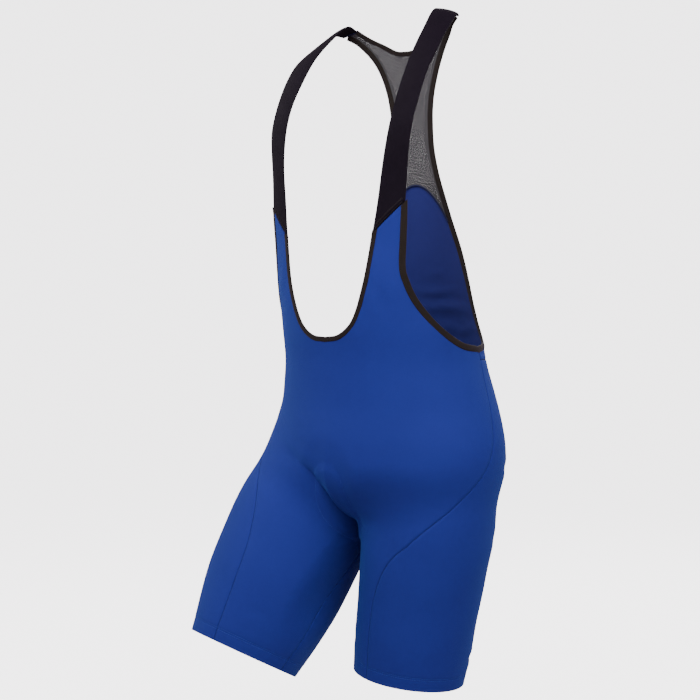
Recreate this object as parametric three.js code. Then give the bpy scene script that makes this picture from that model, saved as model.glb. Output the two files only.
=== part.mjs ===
// Triathlon bib shorts, filled out as they are worn: stretch shorts with a bib front and back, black
// elastic shoulder straps and a grey mesh racer back. Millimetres, +Z up; the wearer faces -Y and the
// wearer's left is +X. The origin is the shoulder mount, midway between the tops of the two straps.
// The cloth follows the cut of the garment on a plain general figure: sections of a trunk, a round
// seat, and two tapered thighs, the left one straight and the right one half a step forward.

import * as THREE from 'three';
import { mergeVertices } from 'three/addons/utils/BufferGeometryUtils.js';

// ---------------------------------------------------------------- driving sizes

const cloth = { panel: 1.4, mesh: 1.2, strap: 1.8, hem: 2.6 };     // wall thicknesses
const binding = { armhole: 7, scoop: 5, neck: 4, thick: 2.6 };      // widths, and one thickness
const seamGap = 0.3;                                                // between two sewn pieces
const hemDepth = 18;                                                // of the turned-in cloth
const bodyAxis = { y: -8, z: -4 };       // where the figure's own axis lies from the shoulder mount

const waistZ = -440;                     // seam between the back bib and the seat
const armholeFloorZ = -430;              // lowest cloth edge of an armhole
const scoopFloorZ = -416;                // lowest cloth edge of the front scoop
const pelvis = { z: -565, depth: 90 };   // where the trunk starts to round in, and how deep it goes
const crotchShift = -12;                 // the crotch lies to the right: the left thigh crosses over
const kneeShift = -36;                   // how much further the space between the thighs swings
const blend = { thigh: 34, middle: 10 }; // how softly thigh and trunk, and the two thighs, meet
const thighGap = 1.2;                    // half the space between the two inner thighs
const yoke = { z: -212, halfWidth: 51, drop: 50 };   // arched seam: back bib below, mesh above
const legLength = { left: 290.5, right: 297 }; // hip joint to hem, along the thigh
const shoulderDrop = 6.5;                // how much lower the right shoulder is held

const sides = { left: 1, right: -1 };

const hips = {
  left: { joint: new THREE.Vector3(79, 5, -560), along: new THREE.Vector3(-0.147, -0.022, -0.989) },
  right: { joint: new THREE.Vector3(-88, 0, -560), along: new THREE.Vector3(-0.186, -0.412, -0.892) },
};

// Counts along the cloth.
const count = {
  trunkRows: 10,      // waist to crotch
  legRows: 11,        // crotch to the top of the hem
  frontColumns: 9,    // middle front or inseam to the side seam
  backColumns: 14,    // side seam to the middle back or inseam, and armhole to middle on the racer back
  bibRows: 14,        // waist to the strap seam
  backBibRows: 9,     // waist to the arched yoke seam, each side of the middle back alike
  meshRows: 16,       // yoke seam to the neckline
  shoulderColumns: 2, // of the back columns, those that end at the strap
  strapRows: 22,
  strapColumns: 3,
};

// ---------------------------------------------------------------- tables

// A table has named columns and is read smoothly between its rows by the first column.
function table(columns, rows) {
  const last = rows.length - 1;
  const falling = rows[last][0] < rows[0][0];
  const slope = (row, column) => {
    const before = rows[Math.max(row - 1, 0)];
    const after = rows[Math.min(row + 1, last)];
    return (after[column] - before[column]) / (after[0] - before[0]);
  };
  return (key) => {
    let row = 0;
    while (row < last - 1 && (falling ? key < rows[row + 1][0] : key > rows[row + 1][0])) row += 1;
    const step = rows[row + 1][0] - rows[row][0];
    const f = THREE.MathUtils.clamp((key - rows[row][0]) / step, 0, 1);
    const result = {};
    columns.forEach((name, column) => {
      const a = rows[row][column];
      const b = rows[row + 1][column];
      result[name] = a * (1 + 2 * f) * (1 - f) ** 2 + b * (3 - 2 * f) * f ** 2
        + step * (slope(row, column) * f * (1 - f) ** 2 - slope(row + 1, column) * (1 - f) * f ** 2);
    });
    return result;
  };
}

// Trunk sections. front and back are y at the middle, widest is y at the sides, and square is the
// power of the section's round: 2 is an ellipse, more is flatter across the chest.
const trunk = table(['z', 'halfWidth', 'front', 'back', 'widest', 'square'], [
  [5, 150, -60, 20, 0, 2.3],
  [-8, 150, -65, 30, 0, 2.3],
  [-24, 150, -70, 39, 0, 2.3],
  [-60, 150, -80, 46, -4, 2.4],
  [-120, 150, -100, 50, -12, 2.6],
  [-212, 145, -117, 58, -27, 2.8],
  [-300, 136, -124, 73, -22, 2.6],
  [-350, 132, -127, 84, -22, 2.4],
  [-400, 133, -125, 97, -14, 2.2],
  [-445, 138, -120, 108, -6, 2.1],
  [-494, 151, -118, 119, 1, 2.0],
  [-540, 158, -121, 123, 2, 2.0],
  [-565, 159, -121, 123, 2, 2.0],
]);

// Thigh radius by the distance from the hip joint.
const thigh = {
  left: table(['along', 'radius'], [
    [0, 74], [60, 83], [100, 84.5], [150, 81.5], [200, 78], [250, 75.5], [290, 72],
  ]),
  right: table(['along', 'radius'], [
    [0, 78], [60, 88], [100, 93], [150, 93.5], [200, 91], [250, 83.5], [297, 74.5],
  ]),
};

// Where the seam between the front and the leg panel runs, as an angle round the thigh:
// 0 is the outer side, 90 the front, 180 the inner side. drop is 0 at the waist, 1 at the crotch
// and 2 at the hem.
const sideSeam = table(['drop', 'angle'], [
  [0, -12], [0.3, -8], [0.55, 2], [0.75, 24], [0.9, 50], [1, 68], [1.14, 84], [1.3, 94], [1.5, 100],
  [2, 100],
]);

// Front scoop: the cloth edge from the middle up to the strap.
const scoopEdge = table(['step', 'x', 'z'], [
  [0, 0, scoopFloorZ], [1, 22, -413], [2, 41, -400], [3, 53, -380], [4, 63, -350], [5, 69, -323],
  [6, 76, -280],
]);

// Armhole: the cloth edge from the strap seam, down the front, round the side and up the back bib,
// as an angle round the trunk: 0 is the middle front, 90 the side, 180 the middle back.
const armholeFront = table(['step', 'angle', 'z'], [
  [0, 102, armholeFloorZ], [1, 86, -424], [2, 72, -404], [3, 61.5, -376], [4, 55.5, -348],
  [5, 52.5, -318], [6, 54.5, -250.2],
]);
const armholeBack = table(['step', 'angle', 'z'], [
  [0, 102, armholeFloorZ], [1, 117, -424], [2, 130, -404], [3, 137, -376], [4, 141, -342],
  [5, 144.5, -301],
  [6, trunkAngle(yoke.halfWidth, yoke.z - yoke.drop, true), yoke.z - yoke.drop],
]);

// Racer back: half the width of the mesh by height, and the neckline by distance from the middle.
const racerEdge = table(['z', 'x'], [
  [-262, 51], [-230, 42], [-200, 34], [-164, 28], [-125, 28], [-100, 31], [-80, 36], [-60, 43.5],
  [-40, 54], [-22, 67], [-9, 79], [-1.8, 91],
]);
const neckline = table(['x', 'z'], [[0, -41], [20, -38.5], [40, -27], [58, -15.5], [77, 1]]);

// Strap edges from the seam on the bib, over the shoulder, to the seam on the mesh.
const strapColumns = ['step', 'innerX', 'innerY', 'innerZ', 'outerX', 'outerY', 'outerZ'];
const strapEdges = table(strapColumns, [
  [0, 71, -116, -285, 110, -99, -246],
  [1, 77, -113, -247, 112, -99, -212],
  [2, 83, -110, -196, 115, -98, -172],
  [3, 87, -102, -150, 118, -94, -143],
  [4, 88, -90, -116, 119.5, -83, -112],
  [5, 86, -72, -83, 119.5, -68, -82],
  [6, 84, -50, -50, 119, -49, -56],
  [7, 81, -27, -22, 114.5, -28, -34.5],
  [8, 76, -6, -0.5, 109, -4, -14],
  [9, 74, 8, 6.5, 104, 10, -3],
  [10, 74, 21, 1.6, 99, 20, -3.4],
]);

// ---------------------------------------------------------------- the general figure

const softMin = (a, b, reach) => Math.min(a, b) - Math.max(reach - Math.abs(a - b), 0) ** 2 / (4 * reach);
const softMax = (a, b, reach) => -softMin(-a, -b, reach);

// How far a point lies outside the trunk; below the pelvis line the trunk rounds in to the crotch.
function trunkField(point) {
  const section = trunk(Math.max(point.z, pelvis.z));
  const dy = point.y - section.widest;
  const depth = dy < 0 ? section.widest - section.front : section.back - section.widest;
  const below = Math.max(pelvis.z - point.z, 0);
  const across = Math.abs(point.x) / section.halfWidth;
  const size = (across ** section.square + (Math.abs(dy) / depth) ** section.square
    + (below / pelvis.depth) ** section.square) ** (1 / section.square);
  const radius = Math.hypot(point.x, dy, below);
  return radius * (1 - 1 / Math.max(size, 1e-6));
}

function thighField(side, point) {
  const { joint, along } = hips[side];
  const fromJoint = point.clone().sub(joint);
  const distance = fromJoint.dot(along);
  const radius = thigh[side](Math.max(distance, 0)).radius;
  return (distance < 0 ? fromJoint.length() : fromJoint.addScaledVector(along, -distance).length()) - radius;
}

// The middle surface swings towards the right thigh below the hips, and on below the crotch.
const middleX = (z) => crotchShift * THREE.MathUtils.smoothstep(-z, 530, 640)
  + kneeShift * THREE.MathUtils.smoothstep(-z, 640, 780);

// One side of the figure: trunk and thigh blended, cut off where it would press on the other thigh.
function sideField(side, point) {
  const body = softMin(trunkField(point), thighField(side, point), blend.thigh);
  const across = sides[side] * (middleX(point.z) - point.x) + thighGap;
  return point.z < pelvis.z ? softMax(body, across, blend.middle) : body;
}

// The first point outside a field on the way from a start.
function surfacePoint(field, start, direction) {
  let inside = 0;
  let outside = 4;
  const at = (distance) => start.clone().addScaledVector(direction, distance);
  while (field(at(outside)) < 0 && outside < 400) {
    inside = outside;
    outside += 4;
  }
  for (let i = 0; i < 18; i += 1) {
    const middle = (inside + outside) / 2;
    if (field(at(middle)) < 0) inside = middle;
    else outside = middle;
  }
  return at(inside);
}

function fieldNormal(field, point) {
  const step = 1.5;
  const difference = (axis) => {
    const ahead = point.clone();
    const behind = point.clone();
    ahead[axis] += step;
    behind[axis] -= step;
    return field(ahead) - field(behind);
  };
  return new THREE.Vector3(difference('x'), difference('y'), difference('z')).normalize();
}

// A point on the trunk by its angle (0 middle front, 90 side, 180 middle back) and height.
function trunkPoint(side, angle, z) {
  const { widest } = trunk(z);
  const turn = THREE.MathUtils.degToRad(angle);
  const direction = new THREE.Vector3(sides[side] * Math.sin(turn), -Math.cos(turn), 0);
  return surfacePoint(trunkField, new THREE.Vector3(0, widest, z), direction);
}

// The angle that a point x from the middle has on the front or back of the trunk.
function trunkAngle(x, z, isBack) {
  const section = trunk(z);
  const depth = isBack ? section.back - section.widest : section.widest - section.front;
  const dy = depth * (1 - (Math.abs(x) / section.halfWidth) ** section.square) ** (1 / section.square);
  const angle = THREE.MathUtils.radToDeg(Math.atan2(Math.abs(x), dy));
  return isBack ? 180 - angle : angle;
}

// ---------------------------------------------------------------- walls

// A surface collects points with their outward normals and wall thickness, and quads between them.
class Surface {
  constructor() {
    this.points = [];
    this.quads = [];
    this.index = new Map();
  }

  add({ point, normal, thick }) {
    const key = [point.x, point.y, point.z].map((value) => Math.round(value * 500)).join();
    if (!this.index.has(key)) {
      this.index.set(key, this.points.length);
      this.points.push({ point, normal: new THREE.Vector3(), thick });
    }
    const id = this.index.get(key);
    this.points[id].normal.add(normal);
    return id;
  }

  // Rows of equal length; turned is true where the rows run the other way round the figure.
  addGrid(rows, turned = false) {
    const ids = rows.map((row) => row.map((item) => this.add(item)));
    for (let i = 0; i + 1 < ids.length; i += 1) {
      for (let j = 0; j + 1 < ids[i].length; j += 1) {
        const quad = [ids[i][j], ids[i][j + 1], ids[i + 1][j + 1], ids[i + 1][j]];
        this.quads.push(turned ? quad.reverse() : quad);
      }
    }
  }

  // The closed wall: the outer skin, the inner skin moved in along the normals, and the rims.
  geometry() {
    const outer = this.points.map(({ point }) => point);
    const inner = this.points.map(({ point, normal, thick }) => point.clone()
      .addScaledVector(normal.clone().normalize(), -thick));
    const skin = [];
    for (const [a, b, c, d] of this.quads) {
      const shortAC = outer[a].distanceTo(outer[c]) <= outer[b].distanceTo(outer[d]);
      const pair = shortAC ? [[a, b, c], [a, c, d]] : [[a, b, d], [b, c, d]];
      skin.push(...pair.filter(([p, q, r]) => p !== q && q !== r && r !== p));
    }
    const edges = new Set();
    for (const [a, b, c] of skin) [[a, b], [b, c], [c, a]].forEach(([p, q]) => edges.add(`${p},${q}`));
    const shift = outer.length;
    const triangles = skin.flatMap(([a, b, c]) => [[a, b, c], [c + shift, b + shift, a + shift]]);
    for (const edge of edges) {
      const [p, q] = edge.split(',').map(Number);
      if (!edges.has(`${q},${p}`)) triangles.push([q, p, p + shift], [q, p + shift, q + shift]);
    }
    const geometry = new THREE.BufferGeometry();
    const places = [...outer, ...inner].flatMap((point) => point.toArray());
    geometry.setAttribute('position', new THREE.Float32BufferAttribute(places, 3));
    geometry.setIndex(triangles.flat());
    return geometry;
  }
}

const moveTowards = (from, to, distance) => from.clone()
  .addScaledVector(to.clone().sub(from).normalize(), distance);

// A row's first and last points drawn in from the seams they share with other pieces.
function drawIn(row, first, last) {
  const end = row.length - 1;
  const result = row.slice();
  if (first) {
    const point = moveTowards(row[0].point, row[1].point, seamGap / 2);
    result[0] = { ...row[0], point };
  }
  if (last) {
    const point = moveTowards(row[end].point, row[end - 1].point, seamGap / 2);
    result[end] = { ...row[end], point };
  }
  return result;
}

// The first row of a grid drawn towards the second.
function drawInFirstRow(rows, distance = seamGap / 2) {
  const first = rows[0].map((item, j) => {
    const point = moveTowards(item.point, rows[1][j].point, distance);
    return { ...item, point };
  });
  return [first, ...rows.slice(1)];
}

// ---------------------------------------------------------------- rings round the trunk and the thighs

// The middle line of the trunk from the waist to the crotch, front or back, by its share of the way.
function middleLine(isBack) {
  const points = [];
  const straightSteps = 24;
  for (let i = 0; i <= straightSteps; i += 1) {
    const z = THREE.MathUtils.lerp(waistZ, pelvis.z, i / straightSteps);
    const section = trunk(z);
    points.push(new THREE.Vector3(middleX(z), isBack ? section.back : section.front, z));
  }
  const section = trunk(pelvis.z);
  const reach = (isBack ? section.back : section.front) - section.widest;
  const roundSteps = 30;
  for (let i = 1; i <= roundSteps; i += 1) {
    const turn = (Math.PI / 2) * (i / roundSteps);
    const z = pelvis.z - pelvis.depth * Math.sin(turn);
    points.push(new THREE.Vector3(middleX(z), section.widest + reach * Math.cos(turn), z));
  }
  return new THREE.CatmullRomCurve3(points);
}

const middleFront = middleLine(false);
const middleBack = middleLine(true);
const crotch = middleFront.getPoint(1);

// The frame of a ring: drop 0 is the waist, 1 the crotch, 2 the hem.
function ringFrame(side, drop) {
  const { joint, along } = hips[side];
  const crotchAlong = crotch.clone().sub(joint).dot(along);
  const crotchCentre = joint.clone().addScaledVector(along, crotchAlong);
  const waistCentre = new THREE.Vector3(0, trunk(waistZ).widest, waistZ);
  const share = Math.min(drop, 1);
  const ease = THREE.MathUtils.smoothstep(share, 0, 1);
  const centre = drop <= 1
    ? new THREE.Vector3(
      THREE.MathUtils.lerp(waistCentre.x, crotchCentre.x, share),
      THREE.MathUtils.lerp(waistCentre.y, crotchCentre.y, share),
      THREE.MathUtils.lerp(waistCentre.z, crotchCentre.z, share))
    : joint.clone().addScaledVector(along, THREE.MathUtils.lerp(crotchAlong, legLength[side], drop - 1));
  const normal = new THREE.Vector3(0, 0, -1).lerp(along, ease).normalize();
  const out = new THREE.Vector3(sides[side], 0, 0)
    .addScaledVector(normal, -normal.x * sides[side]).normalize();
  const front = new THREE.Vector3().crossVectors(normal, out).multiplyScalar(sides[side]);
  return { centre, normal, out, front };
}

// A place as its angle round the ring's centre and its height off the ring's plane.
function placeInRing(frame, place) {
  const from = place.clone().sub(frame.centre);
  const angle = THREE.MathUtils.radToDeg(Math.atan2(from.dot(frame.front), from.dot(frame.out)));
  return { angle, height: from.dot(frame.normal) };
}

// One ring as two rows: the front one from the middle front or inseam to the side seam, and the
// leg one from the side seam round the back to the middle back or inseam.
function ring(side, drop, thick) {
  const frame = ringFrame(side, drop);
  const field = (point) => sideField(side, point);
  const start = placeInRing(frame, drop < 1 ? middleFront.getPointAt(drop) : crotch);
  const end = placeInRing(frame, drop < 1 ? middleBack.getPointAt(drop) : crotch);
  if (start.angle < 0) start.angle += 360;
  if (end.angle > 0) end.angle -= 360;
  if (drop >= 1) {
    const crotchFrame = ringFrame(side, 1);
    let crotchAngle = placeInRing(crotchFrame, crotch).angle;
    if (crotchAngle < 0) crotchAngle += 360;
    start.angle = THREE.MathUtils.lerp(crotchAngle, 180, THREE.MathUtils.smoothstep(drop, 1, 2));
    end.angle = start.angle - 360;
    start.height = 0;
    end.height = 0;
  }
  const seam = sideSeam(drop).angle;
  const fade = (share) => Math.max(1 - share, 0) ** 2;
  const pointAt = (angle) => {
    const height = angle > seam
      ? start.height * fade((start.angle - angle) / (start.angle - seam))
      : end.height * fade((angle - end.angle) / (seam - end.angle));
    const turn = THREE.MathUtils.degToRad(angle);
    const direction = frame.out.clone().multiplyScalar(Math.cos(turn))
      .addScaledVector(frame.front, Math.sin(turn));
    const origin = frame.centre.clone().addScaledVector(frame.normal, height);
    const point = surfacePoint(field, origin, direction);
    return { point, normal: fieldNormal(field, point), thick };
  };
  const row = (from, to, columns) => Array.from({ length: columns + 1 },
    (_, j) => pointAt(THREE.MathUtils.lerp(from, to, j / columns)));
  const front = row(start.angle, seam, count.frontColumns);
  const back = row(seam, end.angle, count.backColumns);
  if (drop <= 1) {
    const ends = [
      [front, 0, drop < 1 ? middleFront.getPointAt(drop) : crotch],
      [back, count.backColumns, drop < 1 ? middleBack.getPointAt(drop) : crotch],
    ];
    for (const [items, j, point] of ends) {
      items[j] = { point, normal: fieldNormal(trunkField, point), thick };
    }
  } else {
    back[count.backColumns] = front[0];
  }
  back[0] = front[count.frontColumns];
  return { front, back };
}

// All the rings of one side; the last ones carry the turned hem.
function rings(side) {
  const result = [];
  const { joint, along } = hips[side];
  const hemShare = hemDepth / (legLength[side] - crotch.clone().sub(joint).dot(along));
  for (let i = 0; i < count.trunkRows; i += 1) result.push(ring(side, i / count.trunkRows, cloth.panel));
  for (let i = 0; i <= count.legRows; i += 1) {
    result.push(ring(side, 1 + (i / count.legRows) * (1 - hemShare), cloth.panel));
  }
  result.push(ring(side, 2 - hemShare + 0.004, cloth.hem));
  result.push(ring(side, 2, cloth.hem));
  return result;
}

const sideRings = { left: rings('left'), right: rings('right') };

// ---------------------------------------------------------------- the bib

const trunkItem = (side, angle, z, thick) => {
  const point = trunkPoint(side, angle, z);
  return { point, normal: fieldNormal(trunkField, point), thick };
};

// Half of the bib front: it starts on the waist ring and ends at the strap seam, and its rows run
// from the scoop edge to the armhole edge.
function bibFront(side) {
  const lastStep = 6;
  const rows = Array.from({ length: count.bibRows }, (_, i) => {
    const step = lastStep * (i / (count.bibRows - 1));
    const scoop = scoopEdge(step);
    const scoopAngle = trunkAngle(scoop.x, scoop.z, false);
    const armhole = armholeFront(step);
    return Array.from({ length: count.frontColumns + 1 }, (__, j) => {
      const share = j / count.frontColumns;
      const angle = THREE.MathUtils.lerp(scoopAngle, armhole.angle, share);
      return trunkItem(side, angle, THREE.MathUtils.lerp(scoop.z, armhole.z, share), cloth.panel);
    });
  });
  return [sideRings[side][0].front, ...rows];
}

// The yoke seam arches down from the middle back to the armholes.
const yokeZ = (x) => yoke.z - yoke.drop * (x / yoke.halfWidth) ** 2;

// Half of the bib back, from the side seam to the middle: it starts on the waist ring and ends at
// the arched yoke seam. The armhole's curve fades out towards the middle.
function bibBack(side) {
  const lastStep = 6;
  const floor = armholeBack(0);
  const tip = armholeBack(lastStep);
  const rows = Array.from({ length: count.backBibRows }, (_, i) => {
    const rise = i / (count.backBibRows - 1);
    const edge = armholeBack(lastStep * rise);
    const curve = {
      angle: edge.angle - THREE.MathUtils.lerp(floor.angle, tip.angle, rise),
      z: edge.z - THREE.MathUtils.lerp(floor.z, tip.z, rise),
    };
    return Array.from({ length: count.backColumns + 1 }, (__, j) => {
      const share = j / count.backColumns;
      const fade = (1 - share) ** 2;
      const x = yoke.halfWidth * (1 - share);
      const lowAngle = THREE.MathUtils.lerp(floor.angle, 180, share);
      const angle = THREE.MathUtils.lerp(lowAngle, trunkAngle(x, yokeZ(x), true), rise) + curve.angle * fade;
      const z = THREE.MathUtils.lerp(floor.z, yokeZ(x), rise) + curve.z * fade;
      return trunkItem(side, angle, z, cloth.panel);
    });
  });
  return [sideRings[side][0].back, ...rows];
}

// How far a place near the top is lowered, as the right shoulder is held lower.
const lowered = (side, x, z) => (side === 'right'
  ? shoulderDrop * THREE.MathUtils.smoothstep(z, -60, 2) * Math.min(Math.abs(x) / 74, 1) : 0);

// A point on the back of the trunk straight behind x and z.
function behind(side, x, height) {
  const z = height - lowered(side, x, height);
  const section = trunk(z);
  const reach = (1 - (Math.abs(x) / section.halfWidth) ** section.square) ** (1 / section.square);
  const y = section.widest + (section.back - section.widest) * reach;
  const point = new THREE.Vector3(sides[side] * x, y, z);
  return { point, normal: fieldNormal(trunkField, point), thick: cloth.mesh };
}

// Half of the racer back, from the armhole edge to the middle: from the yoke seam to the neckline.
// Its top edge is the strap seam on the shoulder first, then the neckline.
const shoulderSeam = {
  outerX: 91,
  outerZ: -1.8,
  innerX: 77,
  share: count.shoulderColumns / count.backColumns,
};

function racerBack(side) {
  const bottom = (share) => {
    const x = yoke.halfWidth * (1 - share);
    return { x, z: yokeZ(x) };
  };
  const top = (share) => {
    const { outerX, outerZ, innerX } = shoulderSeam;
    const innerZ = neckline(innerX).z;
    if (share <= shoulderSeam.share) {
      const part = share / shoulderSeam.share;
      return {
        x: THREE.MathUtils.lerp(outerX, innerX, part),
        z: THREE.MathUtils.lerp(outerZ, innerZ, part),
      };
    }
    const x = innerX * (1 - share) / (1 - shoulderSeam.share);
    return { x, z: neckline(x).z };
  };
  const edge = (rise) => {
    const z = THREE.MathUtils.lerp(yoke.z - yoke.drop, shoulderSeam.outerZ, rise);
    return { x: racerEdge(z).x, z };
  };
  const middle = (rise) => ({ x: 0, z: THREE.MathUtils.lerp(yoke.z, neckline(0).z, rise) });
  const mix = (key, share, rise) => (1 - rise) * bottom(share)[key] + rise * top(share)[key]
    + (1 - share) * edge(rise)[key] + share * middle(rise)[key]
    - (1 - share) * ((1 - rise) * bottom(0)[key] + rise * top(0)[key])
    - share * ((1 - rise) * bottom(1)[key] + rise * top(1)[key]);
  return Array.from({ length: count.meshRows + 1 }, (_, i) => {
    const rise = i / count.meshRows;
    return Array.from({ length: count.backColumns + 1 }, (__, j) => {
      const share = j / count.backColumns;
      return behind(side, mix('x', share, rise), mix('z', share, rise));
    });
  });
}

// A strap is a ribbon with a slight crown; its two end rows lie on the trunk, as the bib and mesh do.
function strap(side) {
  const crown = 1.5;
  const lastStep = 10;
  const edgePoint = (step, edge) => {
    const row = strapEdges(step);
    const height = row[`${edge}Z`];
    const z = height - lowered(side, row[`${edge}X`], height);
    return new THREE.Vector3(sides[side] * row[`${edge}X`], row[`${edge}Y`], z);
  };
  const flat = (step, share) => edgePoint(step, 'inner').lerp(edgePoint(step, 'outer'), share);
  const normalAt = (step, share) => {
    const forward = flat(Math.min(step + 0.1, lastStep), share).sub(flat(Math.max(step - 0.1, 0), share));
    const across = edgePoint(step, 'outer').sub(edgePoint(step, 'inner'));
    return forward.cross(across).multiplyScalar(-sides[side]).normalize();
  };
  const onTrunk = (point, isBack) => {
    const section = trunk(point.z);
    const reach = (1 - (Math.abs(point.x) / section.halfWidth) ** section.square) ** (1 / section.square);
    const edge = isBack ? section.back : section.front;
    return point.clone().setY(section.widest + (edge - section.widest) * reach);
  };
  return Array.from({ length: count.strapRows + 1 }, (_, i) => {
    const step = lastStep * (i / count.strapRows);
    return Array.from({ length: count.strapColumns + 1 }, (__, j) => {
      const share = j / count.strapColumns;
      const normal = normalAt(step, share);
      const point = flat(step, share).addScaledVector(normal, crown * 4 * share * (1 - share));
      for (const [end, isBack] of [[0, false], [lastStep, true]]) {
        const hold = Math.max(1 - Math.abs(step - end) / 1.5, 0);
        if (hold > 0) {
          const seat = onTrunk(flat(end, share), isBack);
          point.add(seat.clone().sub(flat(end, share)).multiplyScalar(hold ** 2));
          if (hold === 1) point.copy(seat);
          normal.lerp(fieldNormal(trunkField, seat), hold ** 2).normalize();
        }
      }
      return { point, normal, thick: cloth.strap };
    });
  });
}

// ---------------------------------------------------------------- bindings

// A folded binding along a cloth edge. Each stop has the edge point, its normal and a point of the
// cloth behind it. The seams at its two ends, where given, are the lines its end faces run along.
function bindingGeometry(stops, width, clothThick, endSeams = []) {
  const proud = (binding.thick - clothThick) / 2;
  const corner = 1;
  const endGap = 0.6;
  const section = [
    [seamGap, proud],
    [width - corner, proud],
    [width, proud - corner],
    [width, corner - clothThick - proud],
    [width - corner, -clothThick - proud],
    [seamGap, -clothThick - proud],
  ];
  const last = stops.length - 1;
  const stations = stops.map(({ point, normal, cloth: behindPoint }, i) => {
    const ahead = stops[Math.min(i + 1, last)].point;
    const along = ahead.clone().sub(stops[Math.max(i - 1, 0)].point).normalize();
    const outward = new THREE.Vector3().crossVectors(along, normal).normalize();
    if (outward.dot(point.clone().sub(behindPoint)) < 0) outward.negate();
    const seam = (i === 0 && endSeams[0]) || (i === last && endSeams[1]) || outward;
    const back = i === 0 ? endGap : i === last ? -endGap : 0;
    return section.map(([w, n]) => point.clone().addScaledVector(seam, w / seam.dot(outward))
      .addScaledVector(normal, n).addScaledVector(along, back));
  });
  return sweepGeometry(stations);
}

// A closed solid through stations of equal rings of points.
function sweepGeometry(stations) {
  const sidesCount = stations[0].length;
  const triangles = [];
  for (let i = 0; i + 1 < stations.length; i += 1) {
    for (let j = 0; j < sidesCount; j += 1) {
      const k = (j + 1) % sidesCount;
      const here = i * sidesCount;
      const next = here + sidesCount;
      triangles.push([here + j, here + k, next + k], [here + j, next + k, next + j]);
    }
  }
  const top = (stations.length - 1) * sidesCount;
  for (let j = 1; j + 1 < sidesCount; j += 1) triangles.push([0, j + 1, j], [top, top + j, top + j + 1]);
  const points = stations.flat();
  const volume = triangles.reduce((sum, [a, b, c]) => sum
    + points[a].dot(new THREE.Vector3().crossVectors(points[b], points[c])), 0);
  const facing = volume > 0 ? triangles : triangles.map(([a, b, c]) => [a, c, b]);
  const geometry = new THREE.BufferGeometry();
  const places = points.flatMap((point) => point.toArray());
  geometry.setAttribute('position', new THREE.Float32BufferAttribute(places, 3));
  geometry.setIndex(facing.flat());
  return geometry;
}

// The stops of an edge: one column of some rows, with the next column as the cloth behind it.
const edgeStops = (rows, column, inward) => rows.map((row) => ({
  point: row[column].point, normal: row[column].normal, cloth: row[column + inward].point,
}));

// ---------------------------------------------------------------- pieces

const materials = {
  cloth: new THREE.MeshStandardMaterial({ color: 0x20428c, roughness: 0.75, metalness: 0 }),
  elastic: new THREE.MeshStandardMaterial({ color: 0x1f1a22, roughness: 0.8, metalness: 0 }),
  mesh: new THREE.MeshStandardMaterial({ color: 0x72706f, roughness: 0.85, metalness: 0 }),
};

const garment = new THREE.Group();
garment.position.set(0, bodyAxis.y, bodyAxis.z);

function addPiece(name, geometry, material) {
  const piece = new THREE.Mesh(mergeVertices(geometry, 1e-4), material.clone());
  piece.name = name;
  garment.add(piece);
}

// The front is one piece across both sides: bib, belly and the inner fronts of both thighs.
function makeFront() {
  const surface = new Surface();
  const crotchPoint = moveTowards(crotch, middleFront.getPointAt(0.97), seamGap);
  for (const side of Object.keys(sides)) {
    const rows = sideRings[side].map(({ front }, i) => drawIn(front, i > count.trunkRows, true));
    rows[count.trunkRows][0] = { ...rows[count.trunkRows][0], point: crotchPoint };
    surface.addGrid(rows, side === 'left');
    const bib = bibFront(side);
    const bibRows = [drawIn(bib[0], false, true), drawIn(bib[1], false, true), ...bib.slice(2)];
    surface.addGrid(drawInFirstRow(bibRows.reverse()), side === 'left');
  }
  return surface.geometry();
}

// A leg panel wraps the outer side, the seat and the back of one thigh.
function makeLeg(side) {
  const surface = new Surface();
  const rows = sideRings[side].map(({ back }) => drawIn(back, true, true));
  surface.addGrid(drawInFirstRow(rows), side === 'left');
  return surface.geometry();
}

function makeBackBib() {
  const surface = new Surface();
  for (const side of Object.keys(sides)) {
    const bib = bibBack(side);
    const rows = [drawIn(bib[0], true, false), drawIn(bib[1], true, false), ...bib.slice(2)];
    surface.addGrid(drawInFirstRow(drawInFirstRow(rows).reverse()), side === 'left');
  }
  return surface.geometry();
}

function makeBackMesh() {
  const surface = new Surface();
  for (const side of Object.keys(sides)) {
    const rows = drawInFirstRow(racerBack(side));
    const top = rows.at(-1).map((item, j) => (j > count.shoulderColumns ? item
      : { ...item, point: moveTowards(item.point, rows.at(-2)[j].point, seamGap / 2) }));
    surface.addGrid([...rows.slice(0, -1), top].reverse(), side === 'left');
  }
  return surface.geometry();
}

function makeStrap(side) {
  const surface = new Surface();
  surface.addGrid(drawInFirstRow(drawInFirstRow(strap(side)).reverse()), side === 'left');
  return surface.geometry();
}

// The line of the seam between bib and strap.
function strapSeam(side) {
  const row = strap(side)[0];
  return row.at(-1).point.clone().sub(row[0].point).normalize();
}

// The armhole binding runs from the strap seam down the front, under the arm and up the back.
function makeArmholeBinding(side) {
  const front = edgeStops(bibFront(side).slice(1).reverse(), count.frontColumns, -1);
  const back = edgeStops(bibBack(side).slice(2), 0, 1);
  const racer = edgeStops(racerBack(side).slice(1), 0, 1);
  return bindingGeometry([...front, ...back, ...racer], binding.armhole, cloth.panel, [strapSeam(side)]);
}

function makeScoopBinding() {
  const left = edgeStops(bibFront('left').slice(1).reverse(), 0, 1);
  const right = edgeStops(bibFront('right').slice(2), 0, 1);
  const endSeams = [strapSeam('left'), strapSeam('right')];
  return bindingGeometry([...left, ...right], binding.scoop, cloth.panel, endSeams);
}

function makeNeckBinding() {
  const stops = (side) => {
    const rows = racerBack(side);
    const first = count.shoulderColumns;
    return rows.at(-1).slice(first).map((item, j) => ({ ...item, cloth: rows.at(-2)[j + first].point }));
  };
  return bindingGeometry([...stops('left'), ...stops('right').reverse().slice(1)], binding.neck, cloth.mesh);
}

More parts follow.
